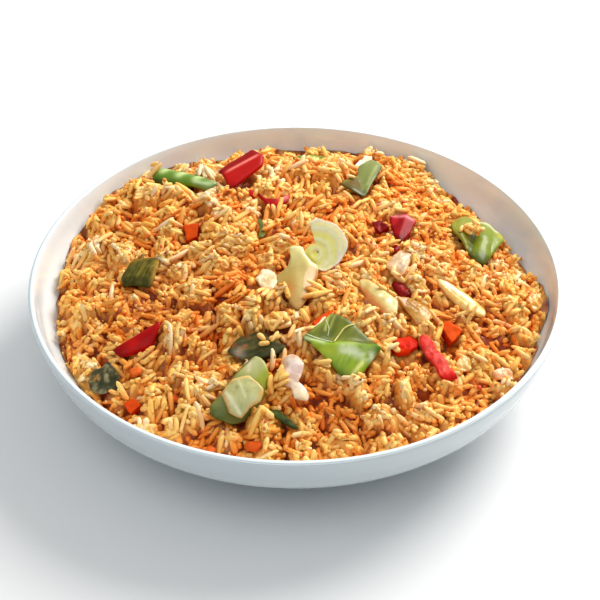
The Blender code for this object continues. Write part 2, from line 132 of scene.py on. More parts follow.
def tube_faces(rings, sides):
    """Triangles between rings of points that follow one another."""
    faces = []
    for ring in range(rings - 1):
        for k in range(sides):
            a = ring * sides + k
            b = ring * sides + (k + 1) % sides
            faces += [(a, b, b + sides), (a, b + sides, a + sides)]
    return faces


def coordinates(mesh):
    """Places of a mesh's vertices, in mm."""
    values = np.empty(len(mesh.vertices) * 3)
    mesh.vertices.foreach_get("co", values)
    return values.reshape(-1, 3) / MM


def normals(mesh):
    values = np.empty(len(mesh.vertices) * 3)
    mesh.vertices.foreach_get("normal", values)
    return values.reshape(-1, 3)


def set_coordinates(mesh, points):
    mesh.vertices.foreach_set("co", (np.asarray(points) * MM).ravel())
    mesh.update()


def paint(mesh, colours):
    """Store a colour for each vertex; the materials read it."""
    layer = mesh.attributes.new("paint", "FLOAT_COLOR", "POINT")
    rows = np.ones((len(mesh.vertices), 4))
    rows[:, :3] = np.clip(colours, 0.0, 1.0)
    layer.data.foreach_set("color", rows.ravel())


def node_centre(node):
    """Centre of a CAD node's box, in mm."""
    low, high = (np.array(corner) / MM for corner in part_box(node))
    return 0.5 * (low + high)


def new_object(name, mesh, material, replaced=None):
    """Link a piece of the dish and hide the CAD node that it stands for."""
    mesh.materials.clear()
    mesh.materials.append(material)
    mesh.shade_smooth()
    made = bpy.data.objects.new(name, mesh)
    bpy.context.scene.collection.objects.link(made)
    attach(made, "root")
    if replaced:
        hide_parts(replaced)
    return made


def ball(subdivisions, radius):
    """Points and triangles of a round ball about the origin, to be made uneven."""
    shell = bmesh.new()
    bmesh.ops.create_icosphere(shell, subdivisions=subdivisions, radius=radius)
    points = np.array([v.co for v in shell.verts])
    faces = np.array([[v.index for v in f.verts] for f in shell.faces])
    shell.free()
    return points, faces


def mesh_from(name, points, faces):
    """A mesh of points in mm, with faces that all have as many corners."""
    mesh = bpy.data.meshes.new(name)
    mesh.from_pydata([], [], [])
    faces = np.asarray(faces)
    count, corners = faces.shape
    mesh.vertices.add(len(points))
    mesh.vertices.foreach_set("co", (np.asarray(points, float) * MM).ravel())
    mesh.loops.add(count * corners)
    mesh.loops.foreach_set("vertex_index", faces.ravel().astype(np.int32))
    mesh.polygons.add(count)
    mesh.polygons.foreach_set("loop_start", np.arange(0, count * corners, corners, dtype=np.int32))
    mesh.update(calc_edges=True)
    mesh.validate()
    return mesh


# ---- materials ------------------------------------------------------------
class Graph:
    """A node material with short calls for what is used here."""

    def __init__(self, name):
        self.material = bpy.data.materials.new(name)
        self.material.use_nodes = True
        self.tree = self.material.node_tree
        self.shader = self.tree.nodes["Principled BSDF"]

    def add(self, kind, **settings):
        node = self.tree.nodes.new(kind)
        for key, value in settings.items():
            setattr(node, key, value)
        return node

    def join(self, source, target):
        self.tree.links.new(source, target)

    def painted(self):
        """The colour that paint() stored."""
        return self.add("ShaderNodeAttribute", attribute_name="paint").outputs["Color"]

    def noise(self, scale, detail):
        place = self.add("ShaderNodeTexCoord")
        node = self.add("ShaderNodeTexNoise")
        node.inputs["Scale"].default_value = scale
        node.inputs["Detail"].default_value = detail
        node.inputs["Roughness"].default_value = 0.55
        self.join(place.outputs["Object"], node.inputs["Vector"])
        return node.outputs["Fac"]

    def range(self, source, low, high, to_low, to_high):
        """Stretch low..high to to_low..to_high."""
        node = self.add("ShaderNodeMapRange")
        for key, value in zip(("From Min", "From Max", "To Min", "To Max"),
                              (low, high, to_low, to_high)):
            node.inputs[key].default_value = value
        self.join(source, node.inputs["Value"])
        return node.outputs["Result"]

    def mix_rgba(self, share, first, second, blend="MIX"):
        node = self.add("ShaderNodeMix", data_type="RGBA", blend_type=blend)
        sockets = [s for s in node.inputs if s.enabled]
        for socket, value in zip(sockets, (share, first, second)):
            if isinstance(value, bpy.types.NodeSocket):
                self.join(value, socket)
            elif socket.type == "RGBA":
                socket.default_value = (*value, 1.0)
            else:
                socket.default_value = value
        return [s for s in node.outputs if s.enabled][0]

    def bump(self, source, distance):
        node = self.add("ShaderNodeBump")
        node.inputs["Distance"].default_value = distance
        node.inputs["Strength"].default_value = 1.0
        self.join(source, node.inputs["Height"])
        self.join(node.outputs["Normal"], self.shader.inputs["Normal"])

    def feed(self, source, socket="Base Color"):
        self.join(source, self.shader.inputs[socket])

    def set(self, **values):
        for key, value in values.items():
            self.shader.inputs[key.replace("_", " ")].default_value = value


def porcelain_material():
    """White glaze, a little cloudy, darkened outside by the painted shade of the paint layer."""
    graph = Graph("porcelain_glaze")
    cloud = graph.noise(14.0, 2.0)
    tone = graph.mix_rgba(cloud, (0.745, 0.825, 0.86), (0.775, 0.85, 0.885))
    graph.feed(graph.mix_rgba(1.0, tone, graph.painted(), "MULTIPLY"))
    graph.feed(graph.range(graph.noise(90.0, 3.0), 0.3, 0.7, 0.10, 0.20), "Roughness")
    graph.bump(graph.noise(60.0, 2.0), 0.00006)
    graph.set(Coat_Weight=0.5, Coat_Roughness=0.05, Specular_IOR_Level=0.5)
    return graph.material


def food_material(name, grain_scale, bump_depth, dry, wet, subsurface, radius, spread, coat=0.0,
                  shine=0.5):
    """Painted food: the paint layer's colour, mottled, with its own gloss."""
    graph = Graph(name)
    shade = graph.range(graph.noise(grain_scale, 4.0), 0.25, 0.75, 1.0 - spread, 1.0 + spread)
    graph.feed(graph.mix_rgba(1.0, graph.painted(), shade, "MULTIPLY"))
    graph.feed(graph.range(graph.noise(grain_scale * 0.7, 2.0), 0.3, 0.7, wet, dry), "Roughness")
    graph.bump(graph.noise(grain_scale * 1.6, 3.0), bump_depth)
    graph.set(Subsurface_Weight=subsurface, Subsurface_Radius=radius, Subsurface_Scale=0.001)
    graph.set(Coat_Weight=coat, Coat_Roughness=0.12, Specular_IOR_Level=shine)
    return graph.material


# ---- the CAD part as heights ------------------------------------------------
# A square grid of cells in mm, wider than the bowl.
HALF = 124.0
CELL = 0.4
COUNT = int(2 * HALF / CELL)
AXIS = (np.arange(COUNT) + 0.5) * CELL - HALF


def cells(x, y):
    """The cell over each place, clipped to the grid."""
    i = np.clip(((np.asarray(x) + HALF) / CELL).astype(int), 0, COUNT - 1)
    j = np.clip(((np.asarray(y) + HALF) / CELL).astype(int), 0, COUNT - 1)
    return i, j


def window(x0, x1, y0, y1, before=0, after=0):
    """Rows and columns of the cells between two corners, kept inside the grid."""
    return [slice(max(int((low + HALF) / CELL) - before, 0), min(int((high + HALF) / CELL) + after, COUNT))
            for low, high in ((x0, x1), (y0, y1))]


def triangles(mesh):
    """Corners of every triangle, in mm."""
    mesh.calc_loop_triangles()
    corners = np.empty(len(mesh.loop_triangles) * 3, dtype=np.int32)
    mesh.loop_triangles.foreach_get("vertices", corners)
    return coordinates(mesh)[corners.reshape(-1, 3)]


def height_map(mesh, highest=True):
    """Highest (or lowest) surface of a mesh over each cell, nan where none."""
    grid = np.full((COUNT, COUNT), np.nan)
    pick = np.fmax if highest else np.fmin
    for a, b, c in triangles(mesh):
        area = (b[0] - a[0]) * (c[1] - a[1]) - (c[0] - a[0]) * (b[1] - a[1])
        if abs(area) < 1e-7:
            continue
        low = np.minimum(np.minimum(a, b), c)
        high = np.maximum(np.maximum(a, b), c)
        rows, columns = window(low[0], high[0], low[1], high[1], 1, 2)
        x = AXIS[rows, None]
        y = AXIS[None, columns]
        u = ((x - a[0]) * (c[1] - a[1]) - (c[0] - a[0]) * (y - a[1])) / area
        v = ((b[0] - a[0]) * (y - a[1]) - (x - a[0]) * (b[1] - a[1])) / area
        inside = (u >= -0.001) & (v >= -0.001) & (u + v <= 1.001)
        z = a[2] + u * (b[2] - a[2]) + v * (c[2] - a[2])
        patch = grid[rows, columns]
        patch[inside] = pick(patch[inside], z[inside])
    return grid


def blurred(grid, radius):
    """Gaussian blur that ignores empty cells."""
    reach = int(3 * radius / CELL)
    offsets = np.arange(-reach, reach + 1)
    kernel = np.exp(-0.5 * (offsets * CELL / radius) ** 2)
    known = np.isfinite(grid).astype(float)
    filled = np.where(known > 0, grid, 0.0)
    for axis in (0, 1):
        filled = np.apply_along_axis(np.convolve, axis, filled, kernel, mode="same")
        known = np.apply_along_axis(np.convolve, axis, known, kernel, mode="same")
    return np.where(known > 1e-3, filled / np.maximum(known, 1e-3), np.nan)


def bowl_rings():
    """The bowl's profile as (radius, height) rings, read from the CAD mesh."""
    points = coordinates(NODES["bowl"].data)
    radius = np.hypot(points[:, 0], points[:, 1])
    rings = {}
    for r, z in zip(radius, points[:, 2]):
        rings.setdefault((round(r, 1), round(z, 1)), []).append((r, z))
    return [tuple(np.mean(group, axis=0)) for group in rings.values()]


# ---- bowl --------------------------------------------------------------------
def smooth_profile(points, steps):
    """Smooth curve through profile points (radius, height)."""
    points = [np.array(p, float) for p in points]
    curve = []
    for i in range(len(points) - 1):
        before = points[max(i - 1, 0)]
        start, end = points[i], points[i + 1]
        after = points[min(i + 2, len(points) - 1)]
        for k in range(steps):
            curve.append(between(before, start, end, after, k / steps))
    curve.append(points[-1])
    return curve


def split_profile(rings):
    """Sort the CAD rings into the outer wall, the inner wall and the foot."""
    top = max(z for _, z in rings)
    rim = max(r for r, _ in rings)
    low_rings = [p for p in rings if p[1] < 0.5]
    foot_outer = max(r for r, _ in low_rings)
    foot_inner = min(r for r, _ in low_rings)
    recess = max(z for r, z in rings if abs(r - foot_inner) < 0.6)
    lip = [p for p in rings if p[1] > top - 0.8 and p[0] > rim - 4.0]
    lip_mid = max(lip, key=lambda p: p[1])
    outer = [p for p in rings if p[0] > foot_outer + 0.5 and p[1] > 1.0]

    def outside(p):
        """The outer wall is the lowest ring near its radius, or beyond the lip."""
        near = [q for q in outer if abs(q[0] - p[0]) < 6.0 and q is not p]
        if p[0] > lip_mid[0] + 0.2:
            return True
        return all(p[1] < q[1] for q in near) if near else False

    outer_wall = [p for p in outer if outside(p)]
    inner_wall = [p for p in outer if not outside(p) and p[0] < lip_mid[0] - 0.2]
    outer_wall.sort(key=lambda p: p[1])
    inner_wall.sort(key=lambda p: -p[1])
    return outer_wall, lip_mid, inner_wall, foot_outer, foot_inner, recess


BOWL_SEGMENTS = 144
LIP_STEPS = 12
WALL_STEPS = 6
# Painted shade: the outside of the bowl is painted this much darker.
OUTSIDE_SHADE = 0.80


def bowl_profile(rings):
    """The turned outline from the underside's middle to the inside's, and where the lip starts."""
    outer_wall, lip, inner_wall, foot_outer, foot_inner, recess = split_profile(rings)
    inner_floor = inner_wall[-1]
    foot = [
        (foot_inner - 0.5, recess), (foot_inner - 0.05, recess - 0.5), (foot_inner + 0.1, 0.7),
        (foot_inner + 0.6, 0.12), (foot_inner + 1.2, 0.0), (foot_outer - 1.2, 0.0),
        (foot_outer - 0.4, 0.12), (foot_outer + 0.1, 0.8), (foot_outer + 0.2, outer_wall[0][1] - 2.2),
    ]
    outside = smooth_profile(outer_wall, WALL_STEPS)
    rim = []
    for step in range(1, LIP_STEPS):
        turn = math.pi * step / LIP_STEPS
        rise = outer_wall[-1][1] + (lip[1] - outer_wall[-1][1]) * math.sin(turn)
        across = 0.5 - 0.5 * math.cos(turn)
        rim.append((outer_wall[-1][0] + (inner_wall[0][0] - outer_wall[-1][0]) * across, rise))
    inside = smooth_profile(inner_wall, WALL_STEPS)
    floor = [(inner_floor[0] * s, inner_floor[1]) for s in (0.8, 0.5, 0.2)]
    under = [(foot_inner * s, recess) for s in (0.2, 0.5, 0.8)]
    return under + foot + outside + rim + inside + floor, len(under) + len(foot) + len(outside)


def make_bowl(rings, material):
    """A bowl turned through the CAD rings, with painted shade that makes its outside a little darker."""
    profile, outer = bowl_profile(rings)
    shell = bmesh.new()
    verts = []
    for radius, height in profile:
        for step in range(BOWL_SEGMENTS):
            turn = 2 * math.pi * step / BOWL_SEGMENTS
            point = np.array((radius * math.cos(turn), radius * math.sin(turn), height))
            verts.append(shell.verts.new(point * MM))
    for ring in range(len(profile) - 1):
        low = ring * BOWL_SEGMENTS
        high = low + BOWL_SEGMENTS
        for step in range(BOWL_SEGMENTS):
            after = (step + 1) % BOWL_SEGMENTS
            shell.faces.new([verts[k] for k in (low + step, low + after, high + after, high + step)])
    shell.faces.new([verts[k] for k in range(BOWL_SEGMENTS - 1, -1, -1)])
    last = (len(profile) - 1) * BOWL_SEGMENTS
    shell.faces.new([verts[last + k] for k in range(BOWL_SEGMENTS)])
    bmesh.ops.recalc_face_normals(shell, faces=shell.faces)
    mesh = bpy.data.meshes.new("porcelain_bowl")
    shell.to_mesh(mesh)
    shell.free()
    # Painted shade: the rings from below the lip down the outside are darkened.
    shade = np.interp(np.arange(len(profile)), (outer - 3, outer + LIP_STEPS // 2), (OUTSIDE_SHADE, 1.0))
    paint(mesh, np.repeat(shade, BOWL_SEGMENTS)[:, None] * (1.0, 1.0, 1.0))
    new_object("porcelain_bowl", mesh, material, "bowl")


# ---- rice ----------------------------------------------------------------------
SEED = 20
CLUMP_SPACING = 13.0
KNOB_SPACING = 5.2
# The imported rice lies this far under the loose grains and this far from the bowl; below
# CORE_LOW it is left as the CAD heap is.
CORE_DEPTH = 1.5
CORE_GAP = 0.9
CORE_LOW = 28.0
GRAIN_RADIUS = 1.18
# Half lengths of the grains of each layer.
BEDDED_HALF = (2.6, 5.2)
BROKEN_HALF = (1.3, 2.25)
RESTING_HALF = (3.2, 5.8)
STANDING_HALF = (3.6, 5.6)
CLINGING_HALF = (1.8, 4.0)
# How deep a grain sinks into what it lies on.
RESTING_SINK = 0.25
CLINGING_SINK = 0.15
# How many grains are tried in each layer; many find no room.
BEDDED_TRIES = 8500
BROKEN_TRIES = 4600
RESTING_TRIES = 30000
STANDING_TRIES = 600
GARLIC_CRUMBS = 2000
CHILLI_CRUMBS = 125
# Places along a grain where it is set against the heap, and how many lies are tried for it.
STATIONS = np.array((-1.0, -0.72, -0.38, 0.0, 0.38, 0.72, 1.0))
VARIANTS = 7
# Height of what lies above, in mm, where nothing does.
NO_CEILING = 999.0


def taper(u):
    """A grain's thickness from end (-1) to end (1)."""
    return np.sqrt(np.clip(1.0 - np.abs(u) ** 3.0, 0.0, 1.0))


class Heap:
    """Everything laid so far, as grids over the cells, with heights in mm.

    target: height to reach. crease: how far that is above or below the CAD heap.
    loose: how freely grains lie, 0 to 1. slope: the target's. height: what is reached.
    ceiling: undersides of the vegetables above. blocked: cells that they cover.
    wall: radii and heights of the bowl's inside. rows: the grains.
    """

    def __init__(self, target, crease, loose, wall, chance):
        self.target = target
        self.crease = crease
        self.loose = loose
        self.wall = wall
        self.chance = chance
        steady = np.where(np.isfinite(target), target, 30.0)
        self.slope = np.gradient(blurred(steady, 0.8), CELL)
        self.height = np.zeros(target.shape)
        self.blocked = np.zeros(target.shape, bool)
        self.ceiling = np.full(target.shape, NO_CEILING)
        self.rows = []

    def inner_radius(self, z):
        """Radius of the bowl's inside at a height."""
        return np.interp(z, self.wall[1], self.wall[0])

    def meets_wall(self, px, py, line, radius, gap=0.15):
        """Whether a grain along these places comes nearer the bowl than the gap."""
        return np.any(np.hypot(px, py) > self.inner_radius(line) - radius - gap)

    def settle(self, x, y, yaw, half, radius, bend):
        """Lay a rod at the lowest of a few nearby places; give its pose."""
        chance = self.chance
        yaws = yaw + chance.normal(0.0, 0.10, VARIANTS)
        shift = np.linspace(-1.3, 1.3, VARIANTS) * radius
        cos, sin = np.cos(yaws)[:, None], np.sin(yaws)[:, None]
        side = shift[:, None] + bend * (1.0 - STATIONS[None, :] ** 2)
        along = STATIONS[None, :] * half
        px = x + cos * along - sin * side
        py = y + sin * along + cos * side
        thick = radius * np.maximum(taper(STATIONS), 0.35)[None, :]
        need = None
        for offset, lift in ((-0.7, 0.714), (0.0, 1.0), (0.7, 0.714)):
            i, j = cells(px - sin * offset * thick, py + cos * offset * thick)
            level = self.height[i, j] + lift * thick
            need = level if need is None else np.maximum(need, level)
        s = STATIONS * half
        low_s, high_s = s[:3][None, :, None], s[4:][None, None, :]
        low_z, high_z = need[:, :3][:, :, None], need[:, 4:][:, None, :]
        middle = (low_z * high_s - high_z * low_s) / (high_s - low_s)
        slope = (high_z - low_z) / (high_s - low_s)
        flat = middle.reshape(VARIANTS, -1)
        best = flat.argmax(axis=1)
        rows = np.arange(VARIANTS)
        centre = np.maximum(flat[rows, best], need[:, 3])
        tilt = slope.reshape(VARIANTS, -1)[rows, best]
        pick = int(centre.argmin())
        return (px[pick], py[pick], centre[pick], tilt[pick], yaws[pick], shift[pick])

    def stamp(self, x, y, z, yaw, tilt, half, radius, bend):
        """Raise the cells under a grain to its back."""
        steps = int(2 * half / 0.36) + 2
        u = np.linspace(-1.0, 1.0, steps)[:, None]
        across = np.linspace(-1.0, 1.0, 7)[None, :]
        thick = radius * taper(u)
        side = across * thick + bend * (1.0 - u * u)
        px = x + math.cos(yaw) * u * half - math.sin(yaw) * side
        py = y + math.sin(yaw) * u * half + math.cos(yaw) * side
        top = z + tilt * u * half + thick * np.sqrt(np.clip(1.0 - across ** 2, 0.0, 1.0))
        i, j = cells(px, py)
        np.maximum.at(self.height, (i.ravel(), j.ravel()), (top + 0 * side).ravel())

    def keep(self, x, y, z, yaw, tilt, half, radius, bend, clump):
        """Add a grain to the heap."""
        self.stamp(x, y, z, yaw, tilt, half, radius, bend)
        self.rows.append((x, y, z, yaw, tilt, half, radius, bend, clump))


class Clumps:
    """Patches of rice that stick together, each with its own lie and tone."""

    def __init__(self, chance, spacing):
        spots = []
        grid = {}
        tries = int(26.0 * (117.0 / spacing) ** 2)
        for _ in range(tries):
            radius = 118.0 * math.sqrt(chance.random())
            turn = chance.uniform(0.0, 2.0 * math.pi)
            spot = (radius * math.cos(turn), radius * math.sin(turn))
            gap = spacing * chance.uniform(0.62, 1.2)
            key = (int(spot[0] // spacing), int(spot[1] // spacing))
            near = [s for i in (-2, -1, 0, 1, 2) for j in (-2, -1, 0, 1, 2)
                    for s in grid.get((key[0] + i, key[1] + j), ())]
            if all((spot[0] - s[0]) ** 2 + (spot[1] - s[1]) ** 2 > gap * gap for s in near):
                spots.append(spot)
                grid.setdefault(key, []).append(spot)
        self.spots = np.array(spots)
        count = len(spots)
        self.spacing = spacing
        self.yaw = chance.uniform(0.0, math.pi, count)
        self.rise = chance.normal(0.0, 1.0, count)
        self.tone = chance.normal(0.0, 1.0, count)

    def nearest(self, x, y):
        """Number of the clump that a place belongs to."""
        apart = (self.spots[:, 0] - x) ** 2 + (self.spots[:, 1] - y) ** 2
        return int(apart.argmin())

    def relief(self, rise, dome, crease, crease_width):
        """Rounded lumps with creases between them, over the cells."""
        first = np.full((COUNT, COUNT), 1e9)
        second = first.copy()
        lift = np.zeros((COUNT, COUNT))
        reach = 2.6 * self.spacing
        for (x, y), up in zip(self.spots, self.rise):
            rows, columns = window(x - reach, x + reach, y - reach, y + reach)
            gap = np.hypot(AXIS[rows, None] - x, AXIS[None, columns] - y)
            near, far, tall = first[rows, columns], second[rows, columns], lift[rows, columns]
            closer = gap < near
            far[:] = np.where(closer, near, np.minimum(far, gap))
            tall[:] = np.where(closer, up, tall)
            near[:] = np.where(closer, gap, near)
        edge = second - first
        inside = np.sqrt(np.clip(edge / (0.8 * self.spacing), 0.0, 1.0))
        return (rise * lift + dome) * inside - crease * np.exp(-((edge / crease_width) ** 2))


def rod(x, y, z, yaw, tilt, reach):
    """Places and heights along a straight grain."""
    px = x + math.cos(yaw) * STATIONS * reach
    py = y + math.sin(yaw) * STATIONS * reach
    return px, py, z + tilt * STATIONS * reach


def random_spot(chance, reach=116.5):
    """An even random place over the bowl."""
    radius = reach * math.sqrt(chance.random())
    turn = chance.uniform(0.0, 2.0 * math.pi)
    return radius * math.cos(turn), radius * math.sin(turn)


def rest_grains(heap, clumps, count, top):
    """Drop whole grains until the heap stands this far above its target."""
    chance = heap.chance
    for _ in range(count):
        x, y = random_spot(chance)
        i, j = cells(x, y)
        goal = heap.target[i, j] + top
        # Beyond the heap, or high enough already.
        if not np.isfinite(goal) or heap.height[i, j] > goal - 1.0:
            continue
        # Where the rice is packed, few grains lie loose.
        if chance.random() > 0.12 + 0.88 * heap.loose[i, j] ** 1.5:
            continue
        clump = clumps.nearest(x, y)
        loose = chance.random() < 0.35
        yaw = chance.uniform(0.0, math.pi) if loose else clumps.yaw[clump] + chance.normal(0.0, 0.35)
        half = chance.uniform(*RESTING_HALF)
        radius = GRAIN_RADIUS * chance.uniform(0.86, 1.12)
        bend = chance.normal(0.0, 0.09) * half
        px, py, z, tilt, angle, shift = heap.settle(x, y, yaw, half, radius, bend)
        if abs(tilt) > 1.1 or z + radius > goal + 1.2:
            continue
        line = z + tilt * STATIONS * half
        # It would bridge a hole.
        if (line - radius - heap.height[cells(px, py)]).mean() > 1.1:
            continue
        i, j = cells(px, py)
        if heap.meets_wall(px, py, line, radius) or heap.blocked[i, j].mean() > 0.3:
            continue
        cx = x - math.sin(angle) * shift
        cy = y + math.cos(angle) * shift
        heap.keep(cx, cy, z - RESTING_SINK, angle, tilt, half, radius, bend, clump)


def bed_grains(heap, clumps, count, halves, gap, depth):
    """Grains stuck in the surface at every slant, as in a lump of rice."""
    chance = heap.chance
    taken = {}
    for _ in range(count):
        x, y = random_spot(chance)
        i, j = cells(x, y)
        level = heap.target[i, j]
        if not np.isfinite(level) or heap.blocked[i, j]:
            continue
        # Only so close to the ones before; they are kept by squares of the gap's size.
        key = (int(x // gap), int(y // gap))
        near = [s for a in (-1, 0, 1) for b in (-1, 0, 1)
                for s in taken.get((key[0] + a, key[1] + b), ())]
        if any((x - s[0]) ** 2 + (y - s[1]) ** 2 < gap * gap for s in near):
            continue
        slope_x, slope_y = heap.slope[0][i, j], heap.slope[1][i, j]
        clump = clumps.nearest(x, y)
        yaw = clumps.yaw[clump] + chance.normal(0.0, 0.7)
        if chance.random() < 0.5:
            yaw += math.pi
        half = chance.uniform(*halves)
        radius = GRAIN_RADIUS * chance.uniform(0.85, 1.15)
        lie = math.atan(slope_x * math.cos(yaw) + slope_y * math.sin(yaw))
        pitch = np.clip(lie + chance.normal(0.12, 0.52), -1.25, 1.25)
        reach = half * math.cos(pitch)
        tilt = math.tan(pitch)
        z = level - depth + chance.normal(0.0, 0.35)
        px, py, line = rod(x, y, z, yaw, tilt, reach)
        if heap.meets_wall(px, py, line, radius):
            continue
        i, j = cells(px, py)
        # On or under a vegetable, or out of the heap by too much.
        if heap.blocked[i, j].mean() > 0.25 or np.any(line + radius > heap.ceiling[i, j] - 0.2):
            continue
        if line.max() + radius > np.nanmax(heap.target[i, j]) + 2.8:
            continue
        taken.setdefault(key, []).append((x, y))
        heap.keep(x, y, z, yaw, tilt, reach, radius, chance.normal(0.0, 0.06) * half, clump)


def stand_grains(heap, clumps, count):
    """Grains that stick out of the heap at a slant."""
    chance = heap.chance
    for _ in range(count):
        x, y = random_spot(chance, 112.0)
        i, j = cells(x, y)
        if heap.blocked[i, j] or not np.isfinite(heap.target[i, j]):
            continue
        clump = clumps.nearest(x, y)
        yaw = clumps.yaw[clump] + chance.normal(0.0, 0.6)
        if chance.random() < 0.5:
            yaw += math.pi
        pitch = chance.uniform(0.25, 0.95)
        half = chance.uniform(*STANDING_HALF)
        radius = GRAIN_RADIUS * chance.uniform(0.86, 1.05)
        reach = half * math.cos(pitch)
        z = heap.height[i, j] + half * math.sin(pitch) - chance.uniform(2.6, 4.2)
        tilt = math.tan(pitch)
        px, py, line = rod(x, y, z, yaw, tilt, reach)
        if heap.meets_wall(px, py, line, radius, 0.3):
            continue
        i, j = cells(px, py)
        if heap.blocked[i, j].any() or np.any(line + radius > heap.ceiling[i, j] - 0.3):
            continue
        if line[-1] > np.nanmin(heap.target[i, j]) + 4.0:
            continue
        heap.keep(x, y, z, yaw, tilt, reach, radius, chance.normal(0.0, 0.25), clump)


# Rice that clings to the vegetables: node, place from its centre in mm, reach, how many.
CLINGING = (
    ("green_pepper_back", -3.5, 0.0, 3.2, 12),
    ("green_pepper_ribbed", -15.5, 13.0, 2.0, 4),
    ("green_pepper_folded", -9.0, -5.0, 2.0, 3),
    ("red_pepper_left", -8.0, -2.0, 2.5, 3),
    ("cabbage_rib", -5.5, -7.0, 2.0, 2),
    ("onion_slice_3", 4.0, -6.0, 3.0, 4),
    ("onion_petal", -4.5, -2.0, 2.0, 5),
    ("onion_bit_3", 0.0, -3.0, 3.0, 5),
    ("red_pepper_stub", -4.5, -3.0, 1.6, 3),
    ("cabbage_right", 0.0, -8.0, 1.5, 2),
    ("green_pepper_shaded", 4.0, 2.0, 3.0, 3),
)


# Clinging grains take the light tone of open rice, as if they lay this far above its hollows, clear of the
# painted shade there.
OPEN_CREASE = 3.0


def stuck_grains(heap, clumps):
    """A few grains that lie on the vegetables."""
    chance = heap.chance
    for node, dx, dy, reach, count in CLINGING:
        middle = node_centre(node)
        for _ in range(count):
            x = middle[0] + dx + chance.normal(0.0, 0.6 * reach)
            y = middle[1] + dy + chance.normal(0.0, 0.6 * reach)
            half = chance.uniform(*CLINGING_HALF)
            radius = GRAIN_RADIUS * chance.uniform(0.85, 1.05)
            yaw = chance.uniform(0.0, math.pi)
            _, _, z, tilt, angle, shift = heap.settle(x, y, yaw, half, radius, 0.0)
            if abs(tilt) > 0.9:
                continue
            cx = x - math.sin(angle) * shift
            cy = y + math.cos(angle) * shift
            i, j = cells(cx, cy)
            heap.crease[i - 8:i + 9, j - 8:j + 9] = OPEN_CREASE
            heap.keep(cx, cy, z - CLINGING_SINK, angle, tilt, half, radius, 0.0, clumps.nearest(x, y))


# Stations along a grain, and how many sides it has, for whole and broken ones.
WHOLE = (np.array((-0.97, -0.72, 0.0, 0.72, 0.97)), 7)
BROKEN = (np.array((-0.90, -0.1, 0.85)), 6)


def grain_faces(rings, sides):
    """Triangles of one grain: its rings, then a point at either end."""
    pattern = tube_faces(rings, sides)
    final = (rings - 1) * sides
    for k in range(sides):
        after = (k + 1) % sides
        pattern.append((final + sides, after, k))
        pattern.append((final + sides + 1, final + k, final + after))
    return np.array(pattern)


def copies(pattern, count, size):
    """The same triangles for every one of many lumps with that many points."""
    return (pattern[None] + (np.arange(count) * size)[:, None, None]).reshape(-1, 3)


def grain_mesh(name, rows, chance, form):
    """All grains of one kind as one mesh, each tapered, bent and a bit flat."""
    places, sides = form
    rows = np.asarray(rows)
    count = len(rows)
    x, y, z, yaw, tilt, half, radius, bend = (rows[:, k] for k in range(8))
    flat = np.stack((np.cos(yaw), np.sin(yaw), tilt), axis=1)
    along = flat / np.linalg.norm(flat, axis=1)[:, None]
    length = half * np.linalg.norm(flat, axis=1)
    side = np.stack((-np.sin(yaw), np.cos(yaw), np.zeros(count)), axis=1)
    up = np.cross(along, side)
    roll = chance.uniform(-0.7, 0.7, count)[:, None]
    broad = side * np.cos(roll) + up * np.sin(roll)
    thin = up * np.cos(roll) - side * np.sin(roll)
    width = radius * chance.uniform(1.0, 1.12, count)
    depth = radius * chance.uniform(0.80, 0.96, count)
    arch = chance.normal(0.0, 0.05, count) * half
    lean = chance.uniform(-0.16, 0.16, count)
    blunt = chance.uniform(3.0, 7.0, count)
    points = np.empty((count, len(places) * sides + 2, 3))
    marks = np.empty((count, points.shape[1]))
    middle = np.stack((x, y, z), axis=1)

    def spine(u):
        return (middle + along * (u * length)[:, None] + side * (bend * (1 - u * u))[:, None]
                + up * (arch * (0.6 - u * u))[:, None])

    for ring, place in enumerate(places):
        u = np.full(count, place)
        base = spine(u)
        size = np.clip(1.0 - np.abs(place) ** blunt, 0.0, 1.0) ** 0.5 * (1.0 + lean * place)
        for k in range(sides):
            turn = 2 * math.pi * k / sides
            wobble = size * chance.uniform(0.90, 1.10, count)
            points[:, ring * sides + k] = (
                base + broad * (width * wobble * math.cos(turn))[:, None]
                + thin * (depth * wobble * math.sin(turn))[:, None])
            marks[:, ring * sides + k] = place
    points[:, -2] = spine(np.full(count, -1.0))
    points[:, -1] = spine(np.full(count, 1.0))
    marks[:, -2], marks[:, -1] = -1.0, 1.0
    faces = copies(grain_faces(len(places), sides), count, points.shape[1])
    return mesh_from(name, points.reshape(-1, 3), faces), marks


# Colours of the rice, from stained to plain; HOLLOW_SHADE and REDDER multiply them, the first as painted
# shade in the hollows, the second as patches of chilli oil.
DEEP = srgb(218, 104, 18)
AMBER = srgb(243, 166, 62)
GOLDEN = srgb(248, 196, 102)
CREAM = srgb(246, 202, 124)
PALE = srgb(246, 220, 176)
HOLLOW_SHADE = np.array((0.92, 0.54, 0.28))
REDDER = np.array((0.96, 0.68, 0.44))


def rice_tone(level):
    """Colour of a grain from deep orange (0) to almost white (1)."""
    stops = np.array((0.0, 0.3, 0.55, 0.8, 1.0))
    table = np.array((DEEP, AMBER, GOLDEN, CREAM, PALE))
    return np.stack([np.interp(level, stops, table[:, c]) for c in range(3)], axis=1)


